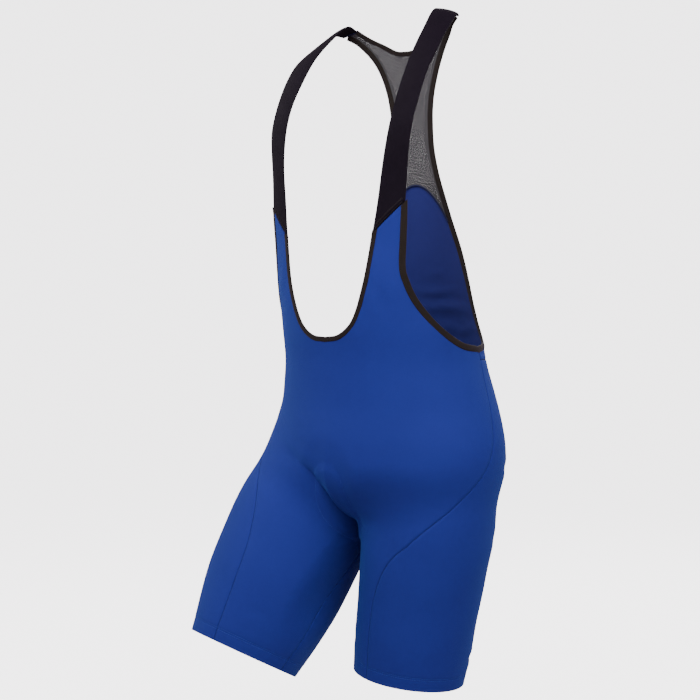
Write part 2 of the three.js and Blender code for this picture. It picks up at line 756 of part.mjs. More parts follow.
addPiece('front', makeFront(), materials.cloth);
addPiece('back_bib', makeBackBib(), materials.cloth);
addPiece('back_mesh', makeBackMesh(), materials.mesh);
addPiece('scoop_binding', makeScoopBinding(), materials.elastic);
addPiece('neck_binding', makeNeckBinding(), materials.elastic);
for (const side of Object.keys(sides)) {
  addPiece(`leg_${side}`, makeLeg(side), materials.cloth);
  addPiece(`strap_${side}`, makeStrap(side), materials.elastic);
  addPiece(`armhole_binding_${side}`, makeArmholeBinding(side), materials.elastic);
}

export default garment;
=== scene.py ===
# %% [markdown]
# # Triathlon bib shorts
# A pair of close-fitting shorts with a bib front, black elastic shoulder straps and a mesh racer
# back, filled out as a wearer fills them but with nobody inside. The measured model gives the form
# in large facets. Here every sewn piece is cut again from the same figure in fine steps, as a thin
# shell of cloth, and then gets its creases, its sewing and its finish.

# %% Load the measured model as a fixed frame
import math

import bmesh
import bpy
import numpy as np
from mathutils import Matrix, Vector


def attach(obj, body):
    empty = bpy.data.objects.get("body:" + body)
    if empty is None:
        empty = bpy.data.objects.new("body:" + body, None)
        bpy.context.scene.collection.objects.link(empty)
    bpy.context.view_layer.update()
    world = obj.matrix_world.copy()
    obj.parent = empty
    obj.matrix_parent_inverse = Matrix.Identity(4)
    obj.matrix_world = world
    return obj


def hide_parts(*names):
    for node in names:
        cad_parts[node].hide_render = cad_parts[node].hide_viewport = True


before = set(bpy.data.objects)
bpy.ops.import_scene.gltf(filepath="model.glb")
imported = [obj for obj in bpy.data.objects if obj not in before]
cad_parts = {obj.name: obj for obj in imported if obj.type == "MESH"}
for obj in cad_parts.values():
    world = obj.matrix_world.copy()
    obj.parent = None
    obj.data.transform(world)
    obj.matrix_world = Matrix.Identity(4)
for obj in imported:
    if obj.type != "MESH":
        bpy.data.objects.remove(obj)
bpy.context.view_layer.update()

print("pieces of the model:", sorted(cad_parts))

# %% [markdown]
# ## The cut
# All sizes of the cut are in millimetres on the wearer's own axis, +Z up, the wearer facing -Y and
# the wearer's left on +X. One shift takes them to the frame, whose origin is midway between the
# tops of the two straps. The values are the same named ones that the solids were made from, so
# that a piece of cloth lies where its solid lies.

# %% Sizes of the cut
BODY_AXIS = np.array([0.0, -8.0, -4.0])
PANEL, MESH_CLOTH, STRAP, HEM_CLOTH = 1.4, 1.2, 1.8, 2.6
SEAM_GAP = 0.3
HEM_DEPTH = 18.0
WAIST_Z = -440.0
PELVIS_Z, PELVIS_DEPTH = -565.0, 90.0
CROTCH_SHIFT, KNEE_SHIFT = -12.0, -36.0
MIDDLE_TURNS = (530, 640, 780)      # depths between which the middle line shifts to crotch and knee
THIGH_BLEND, THIGH_GAP = 34.0, 1.2
MIDDLE_BLEND, MIDDLE_SHARP = 10.0, 0.2
SADDLE_DEPTHS = (648, 690)          # where the blend at the middle grows from sharp to soft
YOKE_Z, YOKE_HALF, YOKE_DROP = -212.0, 51.0, 50.0
SIDES = {"left": 1, "right": -1}
LEG_LENGTH = {"left": 290.5, "right": 297.0}
SHOULDER_DROP, LOWERED_Z, LOWERED_X = 6.5, (-60, 2), 74
HIP = {
    "left": (np.array([79.0, 5.0, -560.0]), np.array([-0.147, -0.022, -0.989])),
    "right": (np.array([-88.0, 0.0, -560.0]), np.array([-0.186, -0.412, -0.892])),
}


def table(rows):
    """A table read smoothly between its rows by its first column; gives the other columns."""
    rows = np.array(rows, float)
    keys, values = rows[:, 0], rows[:, 1:]
    slopes = np.empty_like(values)
    slopes[1:-1] = (values[2:] - values[:-2]) / (keys[2:] - keys[:-2])[:, None]
    slopes[0] = (values[1] - values[0]) / (keys[1] - keys[0])
    slopes[-1] = (values[-1] - values[-2]) / (keys[-1] - keys[-2])
    sign = 1 if keys[-1] > keys[0] else -1

    def read(key):
        key = np.asarray(key, float)
        row = np.clip(np.searchsorted(sign * keys, sign * key) - 1, 0, len(keys) - 2)
        step = keys[row + 1] - keys[row]
        f = np.clip((key - keys[row]) / step, 0, 1)[..., None]
        bend = slopes[row] * f * (1 - f) ** 2 - slopes[row + 1] * (1 - f) * f**2
        ends = values[row] * (1 + 2 * f) * (1 - f) ** 2 + values[row + 1] * (3 - 2 * f) * f**2
        return np.moveaxis(ends + step[..., None] * bend, -1, 0)

    return read


# Trunk sections: height, half the width, front, back, y at the widest, power of the round.
trunk = table([
    [5, 150, -60, 20, 0, 2.3], [-8, 150, -65, 30, 0, 2.3], [-24, 150, -70, 39, 0, 2.3],
    [-60, 150, -80, 46, -4, 2.4], [-120, 150, -100, 50, -12, 2.6], [-212, 145, -117, 58, -27, 2.8],
    [-300, 136, -124, 73, -22, 2.6], [-350, 132, -127, 84, -22, 2.4], [-400, 133, -125, 97, -14, 2.2],
    [-445, 138, -120, 108, -6, 2.1], [-494, 151, -118, 119, 1, 2], [-540, 158, -121, 123, 2, 2],
    [-565, 159, -121, 123, 2, 2],
])
# Thigh radius by the distance from the hip joint.
thigh = {
    "left": table([[0, 74], [60, 83], [100, 84.5], [150, 81.5], [200, 78], [250, 75.5], [290, 72]]),
    "right": table([[0, 78], [60, 88], [100, 93], [150, 93.5], [200, 91], [250, 83.5], [297, 74.5]]),
}
# The side seam as an angle round the thigh, by drop: 0 the waist, 1 the crotch, 2 the hem.
side_seam = table([
    [0, -12], [0.3, -8], [0.55, 2], [0.75, 24], [0.9, 50], [1, 68], [1.14, 84], [1.3, 94], [1.5, 100],
    [2, 100],
])
# The cloth edges of the scoop (x, z) and of the armhole (angle round the trunk, z), by step.
scoop_edge = table([
    [0, 0, -416], [1, 22, -413], [2, 41, -400], [3, 53, -380], [4, 63, -350], [5, 69, -323],
    [6, 76, -280],
])
armhole_front = table([
    [0, 102, -430], [1, 86, -424], [2, 72, -404], [3, 61.5, -376], [4, 55.5, -348], [5, 52.5, -318],
    [6, 54.5, -250.2],
])
# The racer back: half the width of the mesh by height, and the neckline by distance from the middle.
racer_edge = table([
    [-262, 51], [-230, 42], [-200, 34], [-164, 28], [-125, 28], [-100, 31], [-80, 36], [-60, 43.5],
    [-40, 54], [-22, 67], [-9, 79], [-1.8, 91],
])
neckline = table([[0, -41], [20, -38.5], [40, -27], [58, -15.5], [77, 1]])
# The two edges of a strap, from the seam on the bib over the shoulder to the seam on the mesh.
strap_edges = table([
    [0, 71, -116, -285, 110, -99, -246], [1, 77, -113, -247, 112, -99, -212],
    [2, 83, -110, -196, 115, -98, -172], [3, 87, -102, -150, 118, -94, -143],
    [4, 88, -90, -116, 119.5, -83, -112], [5, 86, -72, -83, 119.5, -68, -82],
    [6, 84, -50, -50, 119, -49, -56], [7, 81, -27, -22, 114.5, -28, -34.5],
    [8, 76, -6, -0.5, 109, -4, -14], [9, 74, 8, 6.5, 104, 10, -3], [10, 74, 21, 1.6, 99, 20, -3.4],
])

# %% [markdown]
# ## The figure under the cloth
# Stretch cloth shows the figure it is pulled over. The figure is a field: how far a point lies
# outside the trunk, outside a thigh, or outside both blended together. A point of the cloth is
# found by walking outwards from the figure's own axis until the field changes sign. All points of
# a piece take that walk together, as arrays, which keeps a fine grid quick.


# %% The trunk and the thighs as fields
def mix(a, b, share):
    return a + (b - a) * share


def smooth(value, low, high):
    share = np.clip((np.asarray(value, float) - low) / (high - low), 0, 1)
    return share * share * (3 - 2 * share)


def soft_min(a, b, reach):
    return np.minimum(a, b) - np.maximum(reach - np.abs(a - b), 0) ** 2 / (4 * reach)


def trunk_field(p):
    half, front, back, widest, square = trunk(np.maximum(p[..., 2], PELVIS_Z))
    dy = p[..., 1] - widest
    depth = np.where(dy < 0, widest - front, back - widest)
    below = np.maximum(PELVIS_Z - p[..., 2], 0)
    size = ((np.abs(p[..., 0]) / half) ** square + (np.abs(dy) / depth) ** square
            + (below / PELVIS_DEPTH) ** square) ** (1 / square)
    radius = np.sqrt(p[..., 0] ** 2 + dy**2 + below**2)
    return radius * (1 - 1 / np.maximum(size, 1e-6))


def thigh_field(side, p):
    joint, along = HIP[side]
    offset = p - joint
    distance = offset @ along
    (radius,) = thigh[side](np.maximum(distance, 0))
    across = np.linalg.norm(offset - np.maximum(distance, 0)[..., None] * along, axis=-1)
    return across - radius


def middle_x(z):
    top, crotch_depth, knee_depth = MIDDLE_TURNS
    return (CROTCH_SHIFT * smooth(-z, top, crotch_depth)
            + KNEE_SHIFT * smooth(-z, crotch_depth, knee_depth))


def side_field(side, p):
    body = soft_min(trunk_field(p), thigh_field(side, p), THIGH_BLEND)
    across = SIDES[side] * (middle_x(p[..., 2]) - p[..., 0]) + THIGH_GAP
    reach = mix(MIDDLE_SHARP, MIDDLE_BLEND, smooth(-p[..., 2], *SADDLE_DEPTHS))
    return np.where(p[..., 2] < PELVIS_Z, -soft_min(-body, -across, reach), body)


WALK_STEP, WALK_END, HALVINGS = 4.0, 400.0, 16


def walk_out(field, start, direction):
    """The last points inside a field on the way from the starts."""
    inside = np.zeros(start.shape[:-1])
    going = np.ones(inside.shape, bool)
    for step in np.arange(WALK_STEP, WALK_END, WALK_STEP):
        going &= field(start + step * direction) < 0
        inside = np.where(going, step, inside)
        if not going.any():
            break
    outside = inside + WALK_STEP
    for _ in range(HALVINGS):
        middle = (inside + outside) / 2
        within = field(start + middle[..., None] * direction) < 0
        inside, outside = np.where(within, middle, inside), np.where(within, outside, middle)
    return start + inside[..., None] * direction


def outward(field, p, step=1.5):
    """The unit normals of a field."""
    gradient = np.stack([field(p + step * axis) - field(p - step * axis) for axis in np.eye(3)], -1)
    return gradient / np.linalg.norm(gradient, axis=-1, keepdims=True)


def trunk_angle(x, z, is_back):
    """The angle round the trunk, 0 the middle front and 180 the middle back, at x from the middle."""
    half, front, back, widest, square = trunk(z)
    depth = np.where(is_back, back - widest, widest - front)
    dy = depth * (1 - (np.abs(x) / half) ** square) ** (1 / square)
    angle = np.degrees(np.arctan2(np.abs(x), dy))
    return np.where(is_back, 180 - angle, angle)


def trunk_y(x, z, is_back):
    """The y of the front or the back of the trunk, at x from the middle."""
    half, front, back, widest, square = trunk(z)
    reach = (1 - (np.abs(x) / half) ** square) ** (1 / square)
    return widest + ((back if is_back else front) - widest) * reach


def trunk_points(side, angle, z):
    widest = trunk(z)[3]
    turn = np.radians(angle)
    start = np.stack([0 * z, widest, z], -1)
    direction = np.stack([SIDES[side] * np.sin(turn), -np.cos(turn), 0 * z], -1)
    return walk_out(trunk_field, start, direction)


armhole_back = table([
    [0, 102, -430], [1, 117, -424], [2, 130, -404], [3, 137, -376], [4, 141, -342], [5, 144.5, -301],
    [6, float(trunk_angle(YOKE_HALF, YOKE_Z - YOKE_DROP, True)), YOKE_Z - YOKE_DROP],
])

# %% [markdown]
# ## Rings and rows
# The shorts are laid out in rings, from the waist through the crotch to the hem. A ring is split
# at the side seam: its front row belongs to the front piece, its back row to the leg panel. Rows
# lie closer together at the hem and columns closer together at a seam, where the cloth bends over
# its own edge, and further apart on the open cloth.


# %% Steps along the cloth
def seam_steps(count, *near):
    """Shares from 0 to 1: even on the open cloth, and close together at both ends."""
    start, open_cloth = np.array([0, *near]), near[-1] * 1.8
    return np.concatenate([start, np.linspace(open_cloth, 1 - open_cloth, count), 1 - start[::-1]])


OPEN_FRONT, OPEN_BACK = 62, 90      # columns on the open cloth
FRONT_STEPS = seam_steps(OPEN_FRONT, 0.004, 0.011, 0.02)
BACK_STEPS = seam_steps(OPEN_BACK, 0.0026, 0.0068, 0.0125)
print("columns on a front and on a back:", len(FRONT_STEPS), len(BACK_STEPS))


def run_of(line):
    """The length along a line at each of its points."""
    return np.concatenate([[0], np.cumsum(np.linalg.norm(np.diff(line, axis=0), axis=1))])


def middle_line(is_back, count=900):
    """The middle front or back from the waist to the crotch, evenly spaced."""
    z = np.linspace(WAIST_Z, PELVIS_Z, count // 2)
    _, front, back, widest, _ = trunk(z)
    straight = np.stack([middle_x(z), back if is_back else front, z], -1)
    turn = np.linspace(0, np.pi / 2, count // 2)[1:]
    low = PELVIS_Z - PELVIS_DEPTH * np.sin(turn)
    edge = back[-1] if is_back else front[-1]
    y = widest[-1] + (edge - widest[-1]) * np.cos(turn)
    line = np.concatenate([straight, np.stack([middle_x(low), y, low], -1)])
    share = run_of(line) / run_of(line)[-1]
    return lambda at: np.stack([np.interp(at, share, line[:, i]) for i in range(3)], -1)


middle_front, middle_back = middle_line(False), middle_line(True)
crotch = middle_front(1.0)
print("crotch at", np.round(crotch, 1))


def unit(v):
    return v / np.linalg.norm(v, axis=-1, keepdims=True)


def ring_frame(side, drop):
    joint, along = HIP[side]
    crotch_along = (crotch - joint) @ along
    crotch_centre = joint + crotch_along * along
    waist_centre = np.array([0, trunk(WAIST_Z)[3], WAIST_Z])
    if drop <= 1:
        centre = mix(waist_centre, crotch_centre, drop)
    else:
        centre = joint + along * mix(crotch_along, LEG_LENGTH[side], drop - 1)
    normal = unit(mix(np.array([0, 0, -1.0]), along, float(smooth(drop, 0, 1))))
    axis = np.array([SIDES[side], 0.0, 0.0])
    out = unit(axis - normal * normal[0] * SIDES[side])
    return centre, normal, out, np.cross(normal, out) * SIDES[side]


def place_in_ring(ring, place):
    centre, normal, out, front = ring
    offset = place - centre
    return math.degrees(math.atan2(offset @ front, offset @ out)), offset @ normal


def ring_rows(side, drops):
    """The front and the back rows of the rings of one side, as two grids of points."""
    starts, directions, lines = [], [], []
    for drop in drops:
        ring = ring_frame(side, drop)
        centre, normal, out, front = ring
        first, first_height = place_in_ring(ring, middle_front(drop) if drop < 1 else crotch)
        last, last_height = place_in_ring(ring, middle_back(drop) if drop < 1 else crotch)
        first, last = first % 360, last - 360 if last > 0 else last
        if drop >= 1:
            at_crotch = place_in_ring(ring_frame(side, 1), crotch)[0] % 360
            first = mix(at_crotch, 180, float(smooth(drop, 1, 2)))
            last, first_height, last_height = first - 360, 0, 0
        (seam,) = side_seam(drop)
        angle = np.concatenate([mix(first, seam, FRONT_STEPS), mix(seam, last, BACK_STEPS)])
        share = np.concatenate([FRONT_STEPS, 1 - BACK_STEPS])
        high = np.concatenate([np.full(FRONT_STEPS.shape, first_height),
                               np.full(BACK_STEPS.shape, last_height)])
        height = high * (1 - share) ** 2
        turn = np.radians(angle)[:, None]
        starts.append(centre + normal * height[:, None])
        directions.append(out * np.cos(turn) + front * np.sin(turn))
    found = walk_out(lambda p: side_field(side, p), np.array(starts), np.array(directions))
    split = len(FRONT_STEPS)
    return found[:, :split], found[:, split:]


WAIST_DROPS, TRUNK_START, TRUNK_ROWS, LEG_ROWS = np.array([0, 0.004, 0.011, 0.021]), 0.038, 53, 66
HEM_SHARES = np.array([0.965, 0.93, 0.8, 0.65, 0.5, 0.35, 0.2, 0.09, 0.03, 0])
CROTCH_ROW = len(WAIST_DROPS) + TRUNK_ROWS
HEM_ROW = CROTCH_ROW + LEG_ROWS


def leg_drops(side):
    joint, along = HIP[side]
    hem = HEM_DEPTH / (LEG_LENGTH[side] - (crotch - joint) @ along)
    trunk_part = np.linspace(TRUNK_START, 1, TRUNK_ROWS + 1)
    leg_part = mix(1, 2 - hem, np.linspace(0, 1, LEG_ROWS + 1))[1:]
    return np.concatenate([WAIST_DROPS, trunk_part, leg_part, 2 - hem * HEM_SHARES])


def arc(points, axis):
    """Length along an axis of a grid of points, from its first row or column."""
    step = np.linalg.norm(np.diff(points, axis=axis), axis=-1)
    start = np.zeros_like(np.take(step, [0], axis=axis))
    return np.concatenate([start, np.cumsum(step, axis=axis)], axis=axis)


def pull_to_middle(row, column, target, reach=26.0):
    """A row moved so that its end lies on the middle line, less and less with the distance from it."""
    flat = row if column == 0 else row[::-1]
    fade = 1 - smooth(run_of(flat), 0, reach)
    moved = flat + fade[:, None] * (target - flat[0])
    moved[0] = target
    return moved if column == 0 else moved[::-1]


drops = {side: leg_drops(side) for side in SIDES}
rings = {side: ring_rows(side, drops[side]) for side in SIDES}
for i in range(CROTCH_ROW + 1):
    for part, column in ((0, 0), (1, -1)):
        ends = [rings[side][part][i, column] for side in SIDES]
        line = (middle_front, middle_back)[part](drops["left"][i])
        target = mix((ends[0] + ends[1]) / 2, line, float(smooth(drops["left"][i], 0.5, 0.9)))
        target[0] = line[0]
        for side in SIDES:
            grid = rings[side][part]
            grid[i] = pull_to_middle(grid[i], column, target)
for side in SIDES:
    front, back = rings[side]
    back[:, 0] = front[:, -1]
    back[CROTCH_ROW + 1:, -1] = front[CROTCH_ROW + 1:, 0]
    print(side, "rings", front.shape, back.shape)

# %% [markdown]
# ## The cloth over the crotch
# Pulled cloth bridges a tight corner instead of lining it. Where trunk and thighs meet, the rings
# are joined into one sheet, as they will be sewn, and every point near the crotch is moved towards
# the middle of its neighbours a number of times. That lets the cloth find its own soft saddle.


# %% Ease the cloth near the crotch
EASE_ROUNDS, EASE_PULL, EASE_BELOW_Z = 120, 0.5, -575
EASE_FULL, EASE_NONE = 14, 46       # distances from the crotch line
SHORTEST_PULL = 0.6


def eased(rings):
    """The rings with the cloth near the crotch line relaxed; the two sides share that line."""
    top = slice(0, CROTCH_ROW + 1)
    full = {s: np.concatenate([rings[s][0], rings[s][1][:, 1:]], 1) for s in SIDES}
    lines = np.concatenate([full["left"][top, 0], full["left"][top, -1]])
    lines = lines[lines[:, 2] < EASE_BELOW_Z]
    weight = {}
    for s in SIDES:
        flat = full[s].reshape(-1, 3)
        near = np.full(len(flat), 1e9)
        for point in lines[::2]:
            near = np.minimum(near, np.linalg.norm(flat - point, axis=1))
        weight[s] = (1 - smooth(near, EASE_FULL, EASE_NONE)).reshape(full[s].shape[:2])[..., None]
    for _ in range(EASE_ROUNDS):
        moved = {}
        for s in SIDES:
            g, o = full[s], full["right" if s == "left" else "left"]
            above = np.concatenate([g[:1], g[:-1]])
            below = np.concatenate([g[1:], g[-1:]])
            first, last = g[:, -2:-1].copy(), g[:, 1:2].copy()
            first[top], last[top] = o[top, 1:2], o[top, -2:-1]
            before = np.concatenate([first, g[:, :-1]], 1)
            after = np.concatenate([g[:, 1:], last], 1)
            total, share = np.zeros_like(g), np.zeros(g.shape[:2] + (1,))
            for neighbour in (above, below, before, after):
                far = np.linalg.norm(neighbour - g, axis=-1, keepdims=True)
                pull = 1 / np.maximum(far, SHORTEST_PULL)
                total += neighbour * pull
                share += pull
            moved[s] = g + EASE_PULL * weight[s] * (total / share - g)
        for s in SIDES:
            moved[s][CROTCH_ROW + 1:, -1] = moved[s][CROTCH_ROW + 1:, 0]
        for column in (0, -1):
            shared = (moved["left"][top, column] + moved["right"][top, column]) / 2
            for s in SIDES:
                moved[s][top, column] = shared
        meet = sum(moved[s][CROTCH_ROW, c] for s in SIDES for c in (0, -1)) / 4
        for s in SIDES:
            moved[s][CROTCH_ROW, 0] = moved[s][CROTCH_ROW, -1] = meet
        full = moved
    split = len(FRONT_STEPS)
    return {s: (full[s][:, :split].copy(), full[s][:, split - 1:].copy()) for s in SIDES}


rings = eased(rings)
crotch = rings["left"][0][CROTCH_ROW, 0]
print("crotch after easing", np.round(crotch, 1))

# %% [markdown]
# ## The bib
# Above the waist the front narrows between the scoop and the armholes, and the back rises to an
# arched seam under the mesh. Both are cut by angle and height on the trunk. Their first row is the
# waist ring's, so the front is one uncut piece of cloth from the straps to the hems.


# %% The bib front and the bib back
WAIST_RISES = np.array([0.08, 0.22, 0.42, 0.7, 1])
WAIST_ROWS = len(WAIST_RISES)
EVEN_RISE, TOP_RISES = 0.965, [0.978, 0.988, 0.9955, 1]
BIB_FRONT_ROWS, BIB_BACK_ROWS = 46, 54
FRONT_RISES = np.concatenate([np.linspace(0, EVEN_RISE, BIB_FRONT_ROWS)[1:], TOP_RISES])
BACK_RISES = np.concatenate([np.linspace(0, EVEN_RISE, BIB_BACK_ROWS), TOP_RISES])
SEAM_STEP = 6                       # the last row of the scoop's and the armhole's tables


def bib_front(side):
    """Rows from the waist to the strap seam, columns from the scoop edge to the armhole edge."""
    share = FRONT_STEPS
    grid = []
    for rise in WAIST_RISES:
        z = mix(WAIST_Z, mix(scoop_edge(0)[1], armhole_front(0)[1], share), rise)
        grid.append(trunk_points(side, mix(0, armhole_front(0)[0], share), z))
    seam_x, _, seam_z = (float(v) for v in strap_edges(0)[:3])
    x, z = scoop_edge(SEAM_STEP)
    angle, height = armhole_front(SEAM_STEP)
    top_z = mix(z, height, share)
    top = trunk_points(side, mix(float(trunk_angle(x, z, False)), angle, share), top_z)
    bow = seam_z + np.abs(top[:, 0]) - seam_x - top_z
    for step in SEAM_STEP * FRONT_RISES:
        x, z = scoop_edge(step)
        angle, height = armhole_front(step)
        first = float(trunk_angle(x, z, False))
        height = mix(z, height, share) + bow * (step / SEAM_STEP) ** 4
        grid.append(trunk_points(side, mix(first, angle, share), height))
    return np.array([rings[side][0][0], *grid])


def yoke_z(x):
    return YOKE_Z - YOKE_DROP * (x / YOKE_HALF) ** 2


def bib_back(side):
    """Rows from the waist to the yoke seam, columns from the armhole edge to the middle back."""
    share = BACK_STEPS
    floor, tip = np.array(armhole_back(0)), np.array(armhole_back(SEAM_STEP))
    x = YOKE_HALF * (1 - share)
    top_angle = trunk_angle(x, yoke_z(x), True)
    low_angle = mix(floor[0], 180, share)
    grid = [trunk_points(side, low_angle, np.full(share.shape, mix(WAIST_Z, floor[1], rise)))
            for rise in WAIST_RISES[:-1]]
    for rise in BACK_RISES:
        curve = np.array(armhole_back(SEAM_STEP * rise)) - mix(floor, tip, rise)
        fade = (1 - share) ** 2
        angle = mix(low_angle, top_angle, rise) + curve[0] * fade
        z = mix(floor[1], yoke_z(x), rise) + curve[1] * fade
        grid.append(trunk_points(side, angle, z))
    return np.array([rings[side][1][0], *grid])


front_bibs = {side: bib_front(side) for side in SIDES}
back_bibs = {side: bib_back(side) for side in SIDES}

# %% [markdown]
# ## Creases, seams and the pad's imprint
# Pulled cloth still creases: under the seat, in the groin, in the small of the back and beside every
# seam. Each crease is a soft trough with low banks along a line of its own, and no two have the same
# length, depth or width. They could be painted as bump, but a crease also moves the outline, so they
# are moved in the mesh. The pad sewn inside pushes the cloth out by about two millimetres, from the
# narrow front of the pad to its wide seat.


# %% Places on the shorts
FULL_STEPS = np.concatenate([FRONT_STEPS, 1 + BACK_STEPS[1:]])
SIDE_COLUMN = len(FRONT_STEPS) - 1
shorts = {side: np.concatenate([rings[side][0], rings[side][1][:, 1:]], 1) for side in SIDES}


def grid_normals(grid):
    normals = unit(np.cross(np.gradient(grid, axis=0), np.gradient(grid, axis=1)) + 1e-9)
    return normals * np.sign((normals[4] * outward(trunk_field, grid[4])).sum())


shorts_out = {side: grid_normals(shorts[side]) for side in SIDES}


def on_shorts(grid, side, drop, around):
    """Values of a grid by drop, 0 waist to 2 hem, and around, 0 middle front to 2 middle back."""
    row = np.interp(drop, drops[side], np.arange(len(grid)))
    column = np.interp(around, FULL_STEPS, np.arange(grid.shape[1]))
    i = np.minimum(row.astype(int), len(grid) - 2)
    j = np.minimum(column.astype(int), grid.shape[1] - 2)
    f, g = (row - i)[:, None], (column - j)[:, None]
    return mix(mix(grid[i, j], grid[i, j + 1], g), mix(grid[i + 1, j], grid[i + 1, j + 1], g), f)


def curve_through(stops, count=22):
    """Stops joined by a soft curve."""
    stops = np.array(stops, float)
    rows = np.column_stack([np.arange(len(stops)), stops])
    return np.stack(table(rows)(np.linspace(0, len(stops) - 1, count)), -1)


def beside(points, line, reach):
    """How far points lie from a line, at most a reach, and how far along it they are."""
    run = run_of(line)
    away, along = np.full(len(points), float(reach)), np.zeros(len(points))
    low, high = line.min(0) - reach, line.max(0) + reach
    near = np.nonzero(((points > low) & (points < high)).all(1))[0]
    for i in range(len(line) - 1):
        step = line[i + 1] - line[i]
        if step @ step > 1e-9 and len(near):
            offset = points[near] - line[i]
            part = np.clip(offset @ step / (step @ step), 0, 1)
            distance = np.linalg.norm(offset - part[:, None] * step, axis=1)
            closer = distance < away[near]
            away[near[closer]] = distance[closer]
            along[near[closer]] = mix(run[i], run[i + 1], part[closer])
    return away, along, run[-1]


# %% The creases
# Each crease of the shorts: side, depth and half width in millimetres, then its stops by drop and
# around. A crease with a negative depth is a ridge.
SHORTS_CREASES = [
    ("left", 0.63, 8, [(0.98, 0.14), (0.93, 0.36), (0.87, 0.6)]),
    ("right", 0.8, 9, [(0.97, 0.16), (0.9, 0.4), (0.8, 0.62), (0.73, 0.8)]),
    ("right", 0.4, 6, [(0.8, 0.3), (0.72, 0.5), (0.66, 0.72)]),
    ("left", 2.6, 7, [(1.0, 1.94), (1.03, 1.82), (1.055, 1.68), (1.05, 1.5)]),
    ("left", 1.36, 5, [(1.08, 1.9), (1.12, 1.73), (1.12, 1.56)]),
    ("left", -1.02, 5, [(1.05, 1.86), (1.085, 1.7), (1.085, 1.55)]),
    ("left", 1.02, 6, [(0.9, 1.7), (0.94, 1.55), (0.95, 1.36)]),
    ("right", 2.04, 8, [(0.99, 1.93), (1.02, 1.7), (1.0, 1.46)]),
    ("right", 1.36, 6, [(1.07, 1.9), (1.17, 1.68), (1.25, 1.42)]),
    ("right", 1.02, 5, [(1.2, 1.88), (1.31, 1.66), (1.36, 1.47)]),
    ("right", -0.85, 5, [(1.12, 1.88), (1.22, 1.68), (1.29, 1.48)]),
    ("left", 0.92, 4.5, [(1.02, 0.05), (1.1, 0.16), (1.2, 0.24)]),
    ("left", 1.02, 4, [(1.05, 1.96), (1.16, 1.88), (1.31, 1.84)]),
    ("left", 0.77, 4, [(1.1, 1.99), (1.24, 1.95), (1.4, 1.97)]),
    ("right", 0.92, 5, [(1.02, 0.04), (1.11, 0.18), (1.23, 0.33)]),
    ("right", 0.57, 4, [(1.08, 0.03), (1.19, 0.1), (1.34, 0.2)]),
    ("right", 1.02, 4.5, [(1.05, 1.97), (1.17, 1.86), (1.28, 1.8)]),
    ("left", 0.4, 6, [(1.84, 0.3), (1.78, 0.52), (1.81, 0.78)]),
    ("left", 0.94, 5, [(1.87, 1.32), (1.8, 1.52), (1.84, 1.76)]),
    ("left", 0.68, 4, [(1.72, 1.5), (1.69, 1.66), (1.74, 1.82)]),
    ("right", 0.4, 6, [(1.82, 0.42), (1.76, 0.6), (1.79, 0.85)]),
    ("right", 0.85, 5, [(1.85, 1.28), (1.79, 1.5), (1.83, 1.7)]),
    ("right", 0.77, 4, [(1.66, 1.55), (1.62, 1.72), (1.67, 1.88)]),
    ("left", 0.85, 6, [(0.48, 1.12), (0.55, 1.27), (0.58, 1.5)]),
    ("right", 0.77, 5, [(0.55, 1.1), (0.6, 1.3), (0.61, 1.46)]),
    ("left", 1.19, 6, [(0.07, 1.96), (0.1, 1.7), (0.075, 1.42)]),
    ("left", 0.85, 5, [(0.17, 1.84), (0.19, 1.64), (0.17, 1.5)]),
    ("right", 1.36, 6, [(0.09, 1.98), (0.12, 1.74), (0.1, 1.36)]),
    ("right", 0.77, 5, [(0.2, 1.9), (0.215, 1.7)]),
    ("left", 0.85, 4, [(0.86, 1.985), (0.9, 1.9), (0.91, 1.8)]),
    ("right", 0.85, 4, [(0.8, 1.985), (0.85, 1.88), (0.87, 1.76)]),
]
# Each crease of the bib: depth, half width, then stops by angle round the trunk (above 180 on the
# right) and height.
BIB_CREASES = [
    (1.0, 5, [(148, -349), (176, -353), (199, -347)]), (1.3, 6, [(134, -378), (168, -372), (214, -381)]),
    (1.1, 6.5, [(150, -403), (188, -399), (232, -408)]), (0.6, 4, [(158, -326), (181, -329)]),
    (0.9, 5, [(124, -405), (140, -400), (158, -407)]), (0.6, 4.5, [(204, -360), (218, -352), (229, -356)]),
    (0.7, 6, [(140, -425), (170, -421), (205, -427)]), (-0.5, 6, [(150, -390), (185, -386), (220, -394)]),
    (0.5, 8, [(30, -300), (38, -350), (50, -404)]), (0.45, 9, [(331, -296), (320, -352), (306, -400)]),
    (0.4, 7, [(46, -290), (52, -330), (62, -372)]), (0.35, 7, [(316, -300), (309, -345), (300, -380)]),
]


def around_trunk(angle, z):
    """Points of the trunk by angle, where angles above 180 lie on the right side."""
    return np.where((angle > 180)[:, None], trunk_points("right", 360 - angle, z),
                    trunk_points("left", angle, z))


crease_lines = []
for side, depth, half_width, stops in SHORTS_CREASES:
    crease_lines.append((depth, half_width, on_shorts(shorts[side], side, *curve_through(stops).T)))
for depth, half_width, stops in BIB_CREASES:
    crease_lines.append((depth, half_width, around_trunk(*curve_through(stops).T)))
print("creases:", len(crease_lines))

